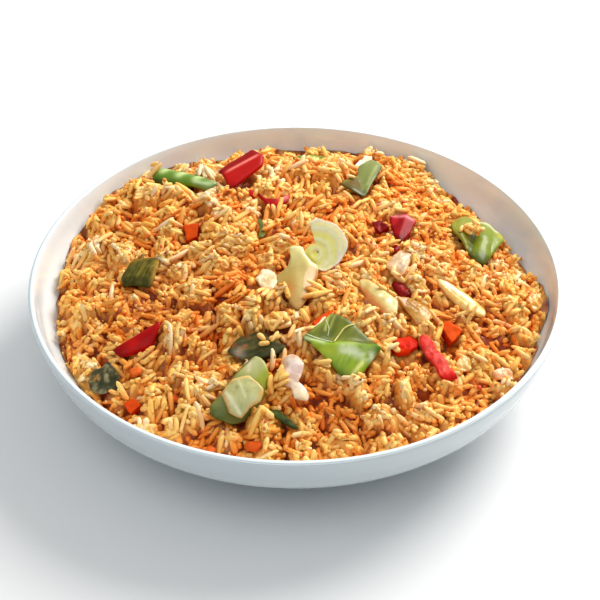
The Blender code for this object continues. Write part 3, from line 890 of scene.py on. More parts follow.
def make_grains(heap, clumps, material):
    """Sort the seen grains into kinds and give each kind one mesh."""
    chance = heap.chance
    rows = np.array(heap.rows)
    x, y, z, yaw, tilt, half, radius = rows.T[:7]
    seen = np.zeros(len(rows), bool)
    for place in (-0.9, -0.5, 0.0, 0.5, 0.9):
        for offset in (-0.5, 0.5):
            px = x + np.cos(yaw) * place * half - np.sin(yaw) * offset * radius
            py = y + np.sin(yaw) * place * half + np.cos(yaw) * offset * radius
            i, j = cells(px, py)
            seen |= z + tilt * place * half + radius * 0.8 > heap.height[i, j] - 1.3
    rows = rows[seen]
    x, y, z, yaw, tilt, half, radius, _, clump = rows.T
    spot = np.stack((x, y, z), axis=1)
    # Tones: by clump; by height over the hollows, lower grains darker as pooled sauce and painted shade; in
    # patches; and one by one.
    level = 0.61 + 0.08 * clumps.tone[clump.astype(int)]
    level += 0.045 * np.clip(heap.crease[cells(x, y)], -4.0, 5.0)
    level += 0.20 * rough_noise(spot, 24.0, 5) + 0.09 * chance.normal(0.0, 1.0, len(rows))
    level += np.where((half > 4.4) & (chance.random(len(rows)) < 0.18), 0.32, 0.0)
    # Grains lying under others are darker: painted shade, with pooled sauce.
    buried = heap.height[cells(x, y)] - (z + radius)
    level -= 0.05 * np.clip(buried, 0.0, 3.0)
    level = np.clip(level, 0.02, 1.0)
    broken = half * np.sqrt(1.0 + tilt ** 2) < 2.3
    kinds = [
        ("rice_grains_deep", ~broken & (level < 0.38), WHOLE),
        ("rice_grains_amber", ~broken & (level >= 0.38) & (level < 0.50), WHOLE),
        ("rice_grains_golden", ~broken & (level >= 0.50) & (level < 0.63), WHOLE),
        ("rice_grains_cream", ~broken & (level >= 0.63), WHOLE),
        ("rice_broken_deep", broken & (level < 0.5), BROKEN),
        ("rice_broken_golden", broken & (level >= 0.5), BROKEN),
    ]
    for name, kind, form in kinds:
        chosen, tones = rows[kind], level[kind]
        mesh, marks = grain_mesh(name, chosen, chance, form)
        per_point = np.repeat(tones, marks.shape[1])
        stain = chance.normal(0.0, 0.07, len(chosen))
        per_point += np.repeat(stain, marks.shape[1]) * marks.ravel()
        points = coordinates(mesh)
        per_point += 0.09 * noise(points, 1.6, 9)
        colour = rice_tone(np.clip(per_point, 0.0, 1.0))
        redder = smoothstep(0.30, 0.80, rough_noise(points, 8.0, 31))
        colour = mix(colour, colour * REDDER, 0.65 * redder)
        # Painted shade: grains in the hollows between clumps are darkened and reddened.
        hollow = smoothstep(0.1, -2.5, heap.crease[cells(points[:, 0], points[:, 1])])
        colour = mix(colour, colour * HOLLOW_SHADE, 0.8 * hollow)
        paint(mesh, colour)
        new_object(name, mesh, material)


def make_core(heap, material):
    """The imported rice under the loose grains: the CAD heap, finely knobbed."""
    shell = bmesh.new()
    shell.from_mesh(NODES["rice"].data)
    bmesh.ops.remove_doubles(shell, verts=shell.verts, dist=1e-6)
    upper = {v for v in shell.verts if v.normal.z > 0.05 and v.co.z > CORE_LOW * MM}
    edges = [e for e in shell.edges if e.verts[0] in upper and e.verts[1] in upper]
    bmesh.ops.subdivide_edges(shell, edges=edges, cuts=2, use_grid_fill=True)
    bmesh.ops.triangulate(shell, faces=shell.faces)
    mesh = bpy.data.meshes.new("rice_core")
    shell.to_mesh(mesh)
    shell.free()
    points = coordinates(mesh)
    facing = normals(mesh)
    i, j = cells(points[:, 0], points[:, 1])
    goal = heap.target[i, j] - CORE_DEPTH + 0.5 * rough_noise(points, 2.2, 3)
    goal = np.minimum(goal, heap.ceiling[i, j] - 0.4)
    radius = np.hypot(points[:, 0], points[:, 1])
    goal = np.maximum(goal, np.interp(radius + CORE_GAP, *heap.wall))
    limit = heap.inner_radius(points[:, 2]) - CORE_GAP
    free = (facing[:, 2] > 0.0) & np.isfinite(goal) & (points[:, 2] > CORE_LOW) & (radius < limit)
    points[:, 2] = np.where(free, np.where(np.isfinite(goal), goal, 0.0), points[:, 2])
    set_coordinates(mesh, points)
    # Painted shade: the core is darker and redder in the hollows between clumps.
    deep = smoothstep(0.5, -2.5, heap.crease[i, j])
    tone = 0.34 + 0.22 * rough_noise(points, 2.6, 8) - 0.25 * deep
    colour = mix(rice_tone(np.clip(tone, 0.0, 1.0)), srgb(132, 32, 4), 0.15 + 0.65 * deep)
    paint(mesh, colour)
    return new_object("rice_core", mesh, material, "rice")


def make_crumbs(heap, material, count, name, colours, size):
    """Little rough lumps of garlic and chilli that cling to the grains."""
    chance = heap.chance
    unit, pattern = ball(1, 1.0)
    places = []
    while len(places) < count:
        x, y = random_spot(chance, 113.0)
        i, j = cells(x, y)
        if heap.blocked[i, j] or not np.isfinite(heap.target[i, j]):
            continue
        if heap.height[i, j] < heap.target[i, j] - 2.5 or chance.random() < 0.7 * heap.loose[i, j]:
            continue
        places.append((x, y, heap.height[i, j]))
    places = np.array(places)
    scale = size * np.exp(chance.normal(0.0, 0.32, count))
    stretch = chance.uniform(0.6, 1.35, (count, 3)) * scale[:, None]
    rough = chance.uniform(0.72, 1.2, (count, len(unit), 1))
    lumps = unit[None] * rough * stretch[:, None, :]
    lumps = lumps + places[:, None, :]
    lumps[:, :, 2] += 0.1 * scale[:, None]
    mesh = mesh_from(name, lumps.reshape(-1, 3), copies(pattern, count, len(unit)))
    pick = chance.integers(0, len(colours), count)
    tone = np.array(colours)[pick] * chance.uniform(0.8, 1.15, (count, 1))
    paint(mesh, np.repeat(tone, len(unit), axis=0))
    new_object(name, mesh, material)


# ---- vegetables --------------------------------------------------------------
class Cut:
    """A slice of vegetable with a mesh, and measures for painting it."""

    def __init__(self, node):
        self.node = node
        self.seed = sum(ord(letter) for letter in node)
        self.centre = node_centre(node)

    def measure(self):
        """Read the mesh's points, their normals and their places from the centre."""
        self.points = coordinates(self.mesh)
        self.normals = normals(self.mesh)
        self.x = self.points[:, 0] - self.centre[0]
        self.y = self.points[:, 1] - self.centre[1]
        self.up = self.normals[:, 2]

    def push(self, amount):
        """Move each point along its normal, in mm."""
        set_coordinates(self.mesh, self.points + self.normals * np.asarray(amount)[:, None])
        self.measure()

    def rough(self, size, seed=0, layers=3):
        """Noise over the slice, its own for each node."""
        return rough_noise(self.points, size, seed + self.seed, layers)

    def along(self, angle):
        """Distance along a level direction, in mm from the slice's centre."""
        turn = math.radians(angle)
        return self.x * math.cos(turn) + self.y * math.sin(turn)

    def fibres(self, angle, width, length=14.0, seed=0):
        """Streaks that run along a direction, from -1 to 1."""
        rows = np.stack((self.along(angle) / length, self.along(angle + 90.0) / width,
                         self.points[:, 2] / length), axis=1)
        return rough_noise(rows, 1.0, seed + self.seed, 2)

    def spot(self, x, y, reach):
        """Nearness to a place, 0 to 1."""
        return np.exp(-((self.x - x) ** 2 + (self.y - y) ** 2) / reach ** 2)

    def line(self, start, end, width):
        """Nearness to a line between two places, 0 to 1."""
        return np.exp(-(line_distance(self.x, self.y, start, end) / width) ** 2)

    def base(self, first, second, share):
        """Start the colours as a blend of two, each given from 0 to 255."""
        self.colours = mix(srgb(*first), srgb(*second), share)

    def tint(self, tone, share):
        """Blend one more colour in."""
        self.colours = mix(self.colours, srgb(*tone), share)

    def mottle(self, change):
        """Lighten and darken the colours by a share."""
        self.colours = self.colours * (1.0 + change)[:, None]

    def finish(self, material, slot):
        """Paint the slice and put it in its node's place."""
        paint(self.mesh, self.colours)
        name = self.node + "_cut"
        self.mesh.name = name
        TOPPINGS.append(new_object(name, self.mesh, material, self.node))


# Every piece that lies on the rice.
TOPPINGS = []


def line_distance(x, y, start, end):
    """Distance of places from a line between two others."""
    ax, ay = start
    bx, by = end
    length = (bx - ax) ** 2 + (by - ay) ** 2
    share = np.clip(((x - ax) * (bx - ax) + (y - ay) * (by - ay)) / length, 0.0, 1.0)
    return np.hypot(x - ax - share * (bx - ax), y - ay - share * (by - ay))


def closed_curve(corners, count, tightness):
    """Even points along a rounded outline; tightness 0 is straight-sided."""
    corners = [np.array(c, float) for c in corners]
    curve = []
    total = len(corners)
    for i in range(total):
        before, start = corners[i - 1], corners[i]
        end, after = corners[(i + 1) % total], corners[(i + 2) % total]
        first = tightness * (end - before) * 0.5
        second = tightness * (after - start) * 0.5
        for k in range(12):
            t = k / 12
            a = 2 * t ** 3 - 3 * t ** 2 + 1
            b = t ** 3 - 2 * t ** 2 + t
            c = -2 * t ** 3 + 3 * t ** 2
            d = t ** 3 - t ** 2
            curve.append(a * start + b * first + c * end + d * second)
    curve = np.array(curve + [curve[0]])
    steps = np.hypot(*np.diff(curve, axis=0).T)
    place = np.concatenate(([0.0], np.cumsum(steps)))
    even = np.linspace(0.0, place[-1], count, endpoint=False)
    return np.stack([np.interp(even, place, curve[:, k]) for k in (0, 1)], axis=1)


def sheet_faces(count, segments, rings):
    """Triangles of a slice's upper and lower side, which share the rim's points."""
    faces = []
    for shift in (0, count):
        def index(k):
            return k if k >= count - segments else shift + k

        for k in range(segments):
            after = (k + 1) % segments
            ring = [(index(0), index(1 + k), index(1 + after))]
            for r in range(rings - 1):
                a, b = 1 + r * segments + k, 1 + r * segments + after
                c, d = b + segments, a + segments
                ring.append((index(a), index(d), index(c)))
                ring.append((index(a), index(c), index(b)))
            faces.extend([f[::-1] for f in ring] if shift else ring)
    return faces


class Sheet(Cut):
    """A flat slice: an outline about the CAD solid's centre, laid on the
    solid's own plane, then shaped by a height given for each place."""

    # How late the rim's rounding starts.
    ROUNDING = 6.0

    def __init__(self, node, outline, thickness, shape=None, tightness=0.6, segments=60, rings=12,
                 ragged=0.25):
        super().__init__(node)
        mesh = NODES[node].data
        points, facing = coordinates(mesh), normals(mesh)
        upper = facing[:, 2] > 0.2
        x, y = points[upper, 0] - self.centre[0], points[upper, 1] - self.centre[1]
        table = np.stack((np.ones(len(x)), x, y), axis=1)
        plane = np.linalg.lstsq(table, points[upper, 2], rcond=None)[0]
        edge = closed_curve(outline, segments, tightness)
        middle = edge.mean(axis=0)
        jag = rough_noise(np.concatenate((edge, np.full((segments, 1), float(self.seed))), axis=1), 2.2,
                          self.seed, 2)
        out = (edge - middle) / np.linalg.norm(edge - middle, axis=1)[:, None]
        edge = edge + out * (ragged * jag)[:, None]
        shares = np.sin(np.linspace(0.0, 1.0, rings + 1)[1:] * math.pi / 2)
        shares = 0.5 * shares + 0.5 * np.linspace(0.0, 1.0, rings + 1)[1:]
        flat = [middle]
        for share in shares:
            flat.extend(middle + (edge - middle) * share)
        flat = np.array(flat)
        share = np.concatenate(([0.0], np.repeat(shares, segments)))
        height = plane[0] + plane[1] * flat[:, 0] + plane[2] * flat[:, 1]
        if shape is not None:
            height = height + shape(flat[:, 0], flat[:, 1])
        body = 0.5 * thickness * np.sqrt(np.clip(1.0 - share ** (2 * self.ROUNDING), 0.0, 1.0))
        tilt = np.array((-plane[1], -plane[2], 1.0))
        tilt /= np.linalg.norm(tilt)
        centre_line = np.column_stack((flat + self.centre[:2], height - 0.5 * thickness))
        top = centre_line + tilt * body[:, None]
        low = centre_line - tilt * body[:, None]
        faces = sheet_faces(len(flat), segments, rings)
        used = sorted({i for f in faces for i in f})
        lookup = {old: new for new, old in enumerate(used)}
        every = np.concatenate((top, low))
        self.mesh = mesh_from(node, every[used], [[lookup[i] for i in f] for f in faces])
        self.share = np.tile(share, 2)[used]
        self.measure()

    def border(self):
        """1 at the slice's uneven border, 0 over its middle."""
        return smoothstep(0.75, 1.0, self.share + 0.18 * self.rough(2.5, 3))


class Block(Cut):
    """A finer copy of the CAD solid, with softened edges."""

    # Rounds of subdivision, and the angle in radians from which an edge stays sharp.
    LEVELS = 3
    SHARP = 0.95

    def __init__(self, node, crease=0.55):
        super().__init__(node)
        shell = bmesh.new()
        shell.from_mesh(NODES[node].data)
        bmesh.ops.remove_doubles(shell, verts=shell.verts, dist=1e-6)
        bmesh.ops.join_triangles(shell, faces=shell.faces, angle_face_threshold=0.9,
                                 angle_shape_threshold=1.2, cmp_seam=False, cmp_sharp=False,
                                 cmp_uvs=False, cmp_vcols=False, cmp_materials=False)
        layer = shell.edges.layers.float.new("crease_edge")
        for edge in shell.edges:
            if edge.calc_face_angle(0.0) > self.SHARP:
                edge[layer] = crease
        rough = bpy.data.meshes.new(node + "_rough")
        shell.to_mesh(rough)
        shell.free()
        helper = bpy.data.objects.new(node + "_rough", rough)
        bpy.context.scene.collection.objects.link(helper)
        finer = helper.modifiers.new("finer", "SUBSURF")
        finer.levels = self.LEVELS
        finer.render_levels = self.LEVELS
        graph = bpy.context.evaluated_depsgraph_get()
        self.mesh = bpy.data.meshes.new_from_object(helper.evaluated_get(graph))
        bpy.data.objects.remove(helper, do_unlink=True)
        bpy.data.meshes.remove(rough)
        self.measure()


def turned(x, y, angle):
    """The same places measured along and across a level direction."""
    turn = math.radians(angle)
    cos, sin = math.cos(turn), math.sin(turn)
    return x * cos + y * sin, y * cos - x * sin


def crumple(x, y, size, seed):
    """Uneven folds over a slice, from -1 to 1."""
    flat = np.stack((x, y, np.full_like(x, 3.0 * seed)), axis=1)
    return rough_noise(flat, size, seed, 3)


# -- green pepper --
def ribbed_pepper(material):
    def form(x, y):
        u, v = turned(x, y, -36.0)
        return 2.6 - 0.085 * (v - 0.6) ** 2 + 0.14 * np.cos(0.60 * u + 2.6)

    outline = [(-16.5, 15), (-16, 6), (-5.5, 0), (4.5, -6), (12.5, -11.5), (16, -8), (9, 0.5), (2.5, 9),
               (-6, 13.5), (-11.5, 15)]
    cut = Sheet("green_pepper_ribbed", outline, 2.6, form, rings=16, segments=84)
    u, v = turned(cut.x, cut.y, -36.0)
    # Pale bands on the rib crests over the upper half: painted highlights.
    bands = (0.5 + 0.5 * np.cos(0.60 * u + 0.4 * cut.rough(4.0) + 2.6)) ** 1.8
    cut.base((93, 129, 20), (184, 204, 130), bands * smoothstep(-2.4, 0.8, v))
    cut.tint((151, 174, 63), 0.5 * smoothstep(2.0, 4.5, v) * smoothstep(-6.0, -14.0, u))
    cut.tint((121, 148, 89), 0.7 * smoothstep(9.0, 14.0, u))
    # A pale streak towards the right end: painted highlight.
    cut.tint((186, 204, 148), 0.8 * cut.line((5.0, -4.5), (12.0, -9.0), 1.1))
    # The lower edge and the far tip go nearly black: painted shade.
    dark = np.maximum(smoothstep(-2.2, -4.6, v), smoothstep(16.0, 19.0, u))
    cut.tint((27, 52, 8), 0.9 * dark)
    cut.finish(material, "green_pepper")


def olive_pepper(material):
    def form(x, y):
        return 1.4 - 0.022 * (x * x + y * y) + 0.9 * crumple(x, y, 6.0, 5)

    outline = [(-4.5, 11), (2, 9), (7.5, 7.5), (7, -1), (4.5, -9.5), (-2, -7.5), (-8, -5.5), (-9.5, 0.5),
               (-7, 7)]
    cut = Sheet("green_pepper_olive", outline, 1.8, form, tightness=0.3, ragged=0.35, rings=16)
    lines = cut.fibres(68.0, 0.8, 9.0)
    cut.push(0.16 * lines)
    cut.base((70, 67, 11), (123, 106, 30), smoothstep(-0.2, 0.8, lines + 0.3 * cut.rough(4.0)))
    cut.tint((167, 126, 45), 0.85 * smoothstep(3.6, 7.0, cut.x - 0.15 * cut.y))
    cut.tint((144, 111, 31), 0.6 * smoothstep(5.0, 9.0, cut.y))
    cut.tint((47, 48, 6), 0.6 * smoothstep(-3.0, -8.0, cut.y + 0.4 * cut.x))
    cut.finish(material, "green_pepper")


def folded_pepper(material):
    def off_fold(x, y):
        return x + 1.7 + 0.124 * y

    def form(x, y):
        off = off_fold(x, y)
        right = 0.42 * np.maximum(off, 0.0) - 0.022 * np.maximum(off, 0.0) ** 2
        left = 0.50 * np.maximum(-off, 0.0) - 0.030 * np.maximum(-off, 0.0) ** 2
        return right + left - 0.6 + 0.4 * crumple(x, y, 5.0, 2)

    outline = [(-11, -8.5), (-6, -2.5), (-2.5, 2.5), (-1.5, 10), (5, 15.5), (10, 11), (7.5, 2), (4.5, -6),
               (0.5, -16), (-6.5, -13.5)]
    cut = Sheet("green_pepper_folded", outline, 1.7, form, tightness=0.4, rings=16)
    off = off_fold(cut.x, cut.y)
    cut.base((96, 74, 4), (122, 130, 64), smoothstep(-0.8, 0.8, off))
    cut.tint((163, 164, 105), 0.75 * cut.line((2.5, -7.0), (7.5, 9.0), 0.9))
    cut.tint((57, 78, 39), 0.7 * cut.line((4.2, -8.0), (9.0, 8.0), 0.9))
    cut.tint((131, 129, 49), 0.6 * cut.line((-9.0, -7.0), (-3.0, 1.0), 1.6))
    cut.tint((68, 75, 14), 0.8 * smoothstep(-9.0, -14.0, cut.y))
    cut.tint((137, 143, 90), 0.6 * smoothstep(9.0, 14.0, cut.y))
    cut.mottle(0.12 * cut.fibres(75.0, 1.2))
    cut.finish(material, "green_pepper")


def back_pepper(material):
    def off_groove(x, y):
        return x + 2.8 - 0.19 * y

    def form(x, y):
        off = off_groove(x, y)
        lobes = 2.2 * np.sin(np.clip(np.abs(off) / 9.0, 0.0, 1.0) * 2.6)
        return lobes + 0.2 - 0.010 * (y - 4.0) ** 2 + 0.5 * crumple(x, y, 8.0, 4)

    outline = [(-12.5, 7), (-8, 16), (-1.5, 19), (3.5, 18.5), (11, 9.5), (12.5, 4), (6, -9), (1, -17.5),
               (-3, -16), (-9, -5.5), (-12, 0)]
    cut = Sheet("green_pepper_back", outline, 2.4, form, rings=20, segments=84)
    off = off_groove(cut.x, cut.y)
    lines = cut.fibres(-60.0, 3.0)
    cut.base((132, 134, 28), (118, 132, 27), smoothstep(-1.5, 1.5, off + lines))
    cut.tint((136, 139, 52), 0.6 * cut.spot(-7.0, 10.0, 4.0))
    # A dark line in the groove between the lobes: painted shade.
    cut.tint((68, 83, 12), 0.8 * np.exp(-((off / 1.2) ** 2)))
    # A pale band along the upper-right edge and glints lower down: painted highlights.
    shine = cut.line((-1.0, 18.0), (9.5, 9.0), 1.5) * smoothstep(-0.7, 0.2, cut.rough(2.2) + 0.3)
    cut.tint((203, 199, 155), 0.95 * shine)
    cut.tint((176, 169, 56), 0.9 * cut.spot(11.0, 5.0, 2.2))
    glints = smoothstep(0.55, 0.75, cut.rough(1.3, 12)) * smoothstep(0.0, -5.0, cut.y)
    cut.tint((196, 194, 142), 0.8 * glints)
    cut.tint((52, 68, 6), 0.8 * smoothstep(-9.0, -15.0, cut.y))
    cut.finish(material, "green_pepper")


def crest_pepper(material):
    def above_fold(x, y):
        return y + 2.8 + 0.05 * np.maximum(x, 0.0) + 0.10 * np.maximum(-x - 6.0, 0.0)

    def form(x, y):
        above = above_fold(x, y)
        lower = np.maximum(-above, 0.0)
        upper = np.maximum(above, 0.0)
        return (1.8 * np.exp(-((above / 2.4) ** 2)) + 0.16 * upper - 0.008 * upper ** 2
                - 0.10 * lower - 0.022 * lower ** 2 + 0.25 * np.sin(0.45 * x) + 0.6)

    outline = [(-16, 1), (-9, 7.5), (-3.5, 13.5), (4.5, 9), (12, 1.5), (17, -4), (14, -7), (9.5, -11.5),
               (5, -17), (-1.5, -12), (-6.5, -7), (-11.5, -4)]
    cut = Sheet("green_pepper_crest", outline, 2.0, form, tightness=0.35, segments=96, rings=22)
    above = above_fold(cut.x, cut.y)
    lines = cut.fibres(62.0, 2.0, 12.0)
    lower = mix(srgb(118, 149, 13), srgb(161, 188, 33), smoothstep(-0.5, 0.7, lines))
    lower = mix(lower, srgb(192, 207, 68), 0.6 * cut.line((-8.0, -5.5), (6.0, -5.0), 1.8))
    # A pale band across the lower facet: painted highlight.
    shine = cut.line((1.0, -5.0), (12.5, -6.8), 1.8) * smoothstep(-0.6, 0.3, cut.rough(3.0, 7) + 0.2)
    lower = mix(lower, srgb(232, 244, 204), 0.85 * shine)
    lower = mix(lower, srgb(234, 237, 140), 0.8 * cut.line((4.5, -13.5), (9.0, -9.0), 0.8))
    # The upper facet's colours are darker than the lower's: painted shade.
    upper = mix(srgb(86, 94, 10), srgb(119, 123, 29), smoothstep(-0.2, 0.8, lines))
    upper = mix(upper, srgb(180, 176, 80), 0.8 * cut.line((-5.0, 12.0), (-6.5, 4.0), 0.6))
    upper = mix(upper, srgb(164, 163, 71), 0.7 * cut.line((-2.5, 11.0), (-4.5, 5.0), 0.45))
    upper = mix(upper, srgb(154, 156, 61), 0.6 * cut.line((-12.0, 3.0), (-4.0, 12.0), 0.9))
    cut.colours = mix(lower, upper, smoothstep(-0.4, 1.4, above))
    cut.tint((202, 220, 150), 0.7 * cut.line((-15.0, 0.5), (-7.5, -3.0), 0.9))
    cut.tint((38, 74, 8), 0.8 * smoothstep(-7.0, -12.0, above + 0.2 * cut.x))
    cut.tint((44, 80, 14), 0.7 * smoothstep(13.0, 16.5, cut.x))
    cut.finish(material, "green_pepper")
    return cut


def front_pepper(material):
    def form(x, y):
        u, v = turned(x, y, 46.0)
        return 1.8 - 0.060 * (v + 0.5) ** 2 + 0.4 * np.sin(0.35 * u + 1.0)

    outline = [(5.5, 13.5), (9.5, 9), (11.5, 4), (10, -3), (2, -12), (-4.5, -15), (-11.5, -13), (-13, -7.5),
               (-9, -2), (-3, 6.5), (1.5, 12)]
    cut = Sheet("green_pepper_front", outline, 2.2, form, tightness=0.5, rings=18, segments=84)
    u, v = turned(cut.x, cut.y, 46.0)
    cut.base((112, 112, 48), (164, 166, 95), smoothstep(-6.0, 7.0, u))
    cut.tint((150, 158, 37), 0.9 * smoothstep(-2.0, -4.5, v) * smoothstep(-4.0, 3.0, u))
    cut.tint((199, 192, 144), 0.7 * cut.spot(4.0, 9.0, 4.0))
    cut.tint((231, 212, 175), 0.5 * cut.line((3.0, 5.0), (3.5, 11.0), 0.8))
    cut.tint((70, 88, 21), 0.9 * smoothstep(4.2, 6.0, v))
    cut.tint((126, 136, 76), 0.7 * cut.spot(-9.0, -9.0, 3.0))
    cut.tint((75, 90, 19), 0.8 * smoothstep(-12.0, -17.0, u))
    cut.finish(material, "green_pepper")


def shaded_pepper(material):
    outline = [(-12.5, -2), (-6.5, -7), (4, -6.5), (12.5, -2), (6, 3.5), (-0.5, 7), (-8, 4)]
    cut = Sheet("green_pepper_shaded", outline, 1.8, lambda x, y: 0.5 * np.sin(0.5 * x) + 0.3, ragged=0.45)
    # Colours kept near black: painted shade, for a piece that lies in shadow.
    cut.base((52, 54, 24), (100, 92, 46), smoothstep(-0.2, 0.8, cut.fibres(20.0, 1.4)))
    cut.tint((150, 135, 119), 0.6 * cut.spot(-8.0, -4.0, 2.5))
    cut.tint((172, 82, 32), 0.5 * smoothstep(0.2, 0.7, cut.rough(3.0, 8)))
    cut.finish(material, "dark_greens")


def green_slivers(green, dark):
    outline = [(-7, -4), (0, -3), (7, -1), (7.5, 3.5), (0, 4.5), (-7, 2)]
    cut = Sheet("green_pepper_far_sliver", outline, 1.5)
    cut.base((90, 116, 30), (140, 156, 70), smoothstep(-0.3, 0.6, cut.rough(3.0)))
    cut.finish(green, "green_pepper")

    outline = [(-2.5, 8), (-1.4, 1), (-1.6, -8), (0.2, -8.6), (1.6, -5), (0.6, 2), (-0.6, 9)]
    cut = Sheet("green_pepper_shred", outline, 1.1, lambda x, y: 0.5 * np.sin(0.6 * y), segments=36, rings=6,
                ragged=0.5)
    cut.base((96, 100, 18), (64, 70, 12), smoothstep(-0.4, 0.5, cut.rough(2.0)))
    cut.finish(green, "green_pepper")

    outline = [(-6, 3.5), (-2, 3.8), (3, -0.5), (6.2, -4), (5, -5), (0, -2.5), (-5, 2)]
    cut = Sheet("green_pepper_low_sliver", outline, 1.4, segments=36, rings=6)
    # Colours kept dark: painted shade, for a sliver that lies in shadow.
    cut.base((40, 52, 14), (84, 96, 34), smoothstep(-0.3, 0.6, cut.rough(2.0)))
    cut.finish(dark, "dark_greens")


def withered_leaf(material):
    def form(x, y):
        return 0.5 * np.sin(0.9 * x + 0.4) + 0.4 * np.sin(0.8 * y + 0.5 * x) + 0.3

    outline = [(-7, 3.5), (-6, -3), (1, -8), (6.5, -7), (6, 0), (2, 6.5), (-3, 6.5)]
    cut = Sheet("dark_leaf", outline, 1.3, form, ragged=0.5, rings=18)
    cut.push(0.4 * cut.rough(1.8, 3))
    cut.base((55, 55, 31), (142, 130, 92), smoothstep(-0.1, 0.8, cut.rough(2.6, 5)))
    cut.tint((211, 142, 57), smoothstep(0.35, 0.9, cut.rough(3.4, 9)))
    cut.finish(material, "dark_greens")


# -- red pepper and carrot --
def red_wedge(material):
    def above_ridge(x, y):
        return -0.596 * (x + 9.5) + 0.803 * (y + 6.2)

    def form(x, y):
        off = above_ridge(x, y)
        return 2.6 - 0.34 * np.maximum(-off, 0.0) + 0.05 * np.maximum(off, 0.0)

    outline = [(-11.5, -2.5), (-6, 3.5), (0, 8.5), (5, 13), (10.5, 7), (10, 0.5), (3.5, -6.5), (-3, -13.5),
               (-6, -13), (-9.5, -5)]
    cut = Sheet("red_pepper_wedge", outline, 2.4, form, tightness=0.25, rings=18, segments=84)
    off = above_ridge(cut.x, cut.y)
    lines = cut.fibres(38.0, 2.0)
    cut.base((166, 10, 4), (138, 8, 4), smoothstep(0.3, 1.6, off))
    cut.tint((184, 29, 13), 0.6 * smoothstep(0.1, 0.8, lines) * smoothstep(0.0, -2.0, off))
    # A pink line along the ridge: painted highlight.
    ridge = np.exp(-((off / 0.75) ** 2)) * smoothstep(-9.0, -5.0, cut.x) * smoothstep(9.5, 6.0, cut.x)
    cut.tint((232, 120, 108), 0.95 * ridge)
    cut.tint((120, 6, 6), 0.8 * smoothstep(-7.0, -10.0, off))
    cut.finish(material, "red_pepper")


def red_curl(material):
    cut = Block("red_pepper_curl")
    cut.push(0.25 * cut.rough(3.0, 2))
    cut.base((152, 8, 10), (206, 24, 22), smoothstep(-0.3, 0.6, cut.rough(4.0, 4)))
    # A pale pink spot: painted highlight.
    cut.tint((246, 150, 150), 0.8 * cut.spot(5.0, -1.5, 2.2))
    cut.finish(material, "red_pepper")


def red_lumps(material):
    """Small dark knobs of pepper, each of them a few round bits together."""
    for node, skin, light in (("red_pepper_dark", (111, 1, 1), (147, 5, 2)),
                              ("red_pepper_flake", (115, 1, 1), (156, 7, 5))):
        cut = Block(node)
        cut.push(0.9 * cut.rough(3.0, 2) + 0.3)
        cut.base(skin, light, smoothstep(-0.1, 0.8, cut.rough(1.8, 4)))
        cut.finish(material, "red_pepper")


def red_corner(material):
    def form(x, y):
        return 0.12 * (y + x) + 1.2 * np.exp(-(((x - 0.3 * y + 1.0) / 2.5) ** 2))

    outline = [(-6, 8), (-1, 10), (6, 6.5), (3.5, -1), (-1.5, -9), (-4.5, -4), (-5.5, 2)]
    cut = Sheet("red_pepper_corner", outline, 1.9, form, tightness=0.35, ragged=0.5, rings=16)
    cut.base((136, 1, 6), (166, 6, 14), smoothstep(-0.4, 0.6, cut.rough(3.0)))
    # A pale pink line along the top edge: painted highlight.
    shine = cut.line((-4.5, 8.2), (4.5, 6.2), 0.9) * smoothstep(-0.6, 0.3, cut.rough(2.0, 7) + 0.3)
    cut.tint((222, 130, 130), 0.95 * shine)
    cut.tint((83, 1, 3), 0.8 * smoothstep(-2.0, -7.0, cut.y))
    cut.finish(material, "red_pepper")


def red_left(material):
    outline = [(-10, -2), (-6, -6), (4, -4.5), (8.5, -2.5), (11, 7), (8, 6.5), (-2, 1.5)]
    cut = Sheet("red_pepper_left", outline, 2.0, lambda x, y: 1.2 - 0.06 * (y - 0.35 * x) ** 2,
                tightness=0.45, ragged=0.4)
    cut.base((159, 1, 0), (188, 1, 1), smoothstep(-0.3, 0.7, cut.rough(5.0)))
    cut.tint((205, 18, 4), 0.7 * cut.spot(-1.0, -2.2, 2.6))
    cut.tint((114, 0, 0), 0.7 * smoothstep(-3.0, -9.0, cut.x))
    cut.finish(material, "red_pepper")


def red_strip(material):
    def form(x, y):
        u, v = turned(x, y, -58.0)
        return 0.9 - 0.06 * v * v + 0.5 * np.sin(0.7 * u + 0.6) + 0.35 * crumple(x, y, 2.6, 6)

    outline = [(-6.5, 10.5), (-3.5, 10), (0.5, 4), (5, -3.5), (8.5, -9.5), (3, -11), (-1, -4), (-4.5, 1),
               (-6.5, 5)]
    cut = Sheet("red_pepper_strip", outline, 2.2, form, tightness=0.5, ragged=0.5, rings=18, segments=84)
    cut.push(0.25 * cut.rough(1.2, 3))
    u, v = turned(cut.x, cut.y, -58.0)
    cut.base((229, 62, 53), (245, 112, 101), smoothstep(-0.3, 0.8, cut.rough(1.6, 5)))
    cut.tint((208, 19, 14), 0.7 * smoothstep(2.2, 3.8, np.abs(v)))
    cut.tint((200, 13, 11), 0.85 * smoothstep(7.5, 11.0, u))
    cut.finish(material, "red_pepper")


def red_stub(material):
    def form(x, y):
        return 0.9 - 0.03 * (x * x + y * y) + 0.9 * crumple(x, y, 3.4, 11)

    outline = [(-6.5, -0.5), (-3.5, 3), (2, 5), (6.5, 5.5), (6.5, 0), (2.5, -4.5), (-3, -5)]
    cut = Sheet("red_pepper_stub", outline, 2.6, form, ragged=0.8)
    cut.base((190, 18, 0), (214, 46, 4), smoothstep(-0.4, 0.6, cut.rough(3.0)))
    cut.tint((172, 10, 0), 0.7 * smoothstep(2.0, 6.0, cut.x))
    cut.finish(material, "carrot")


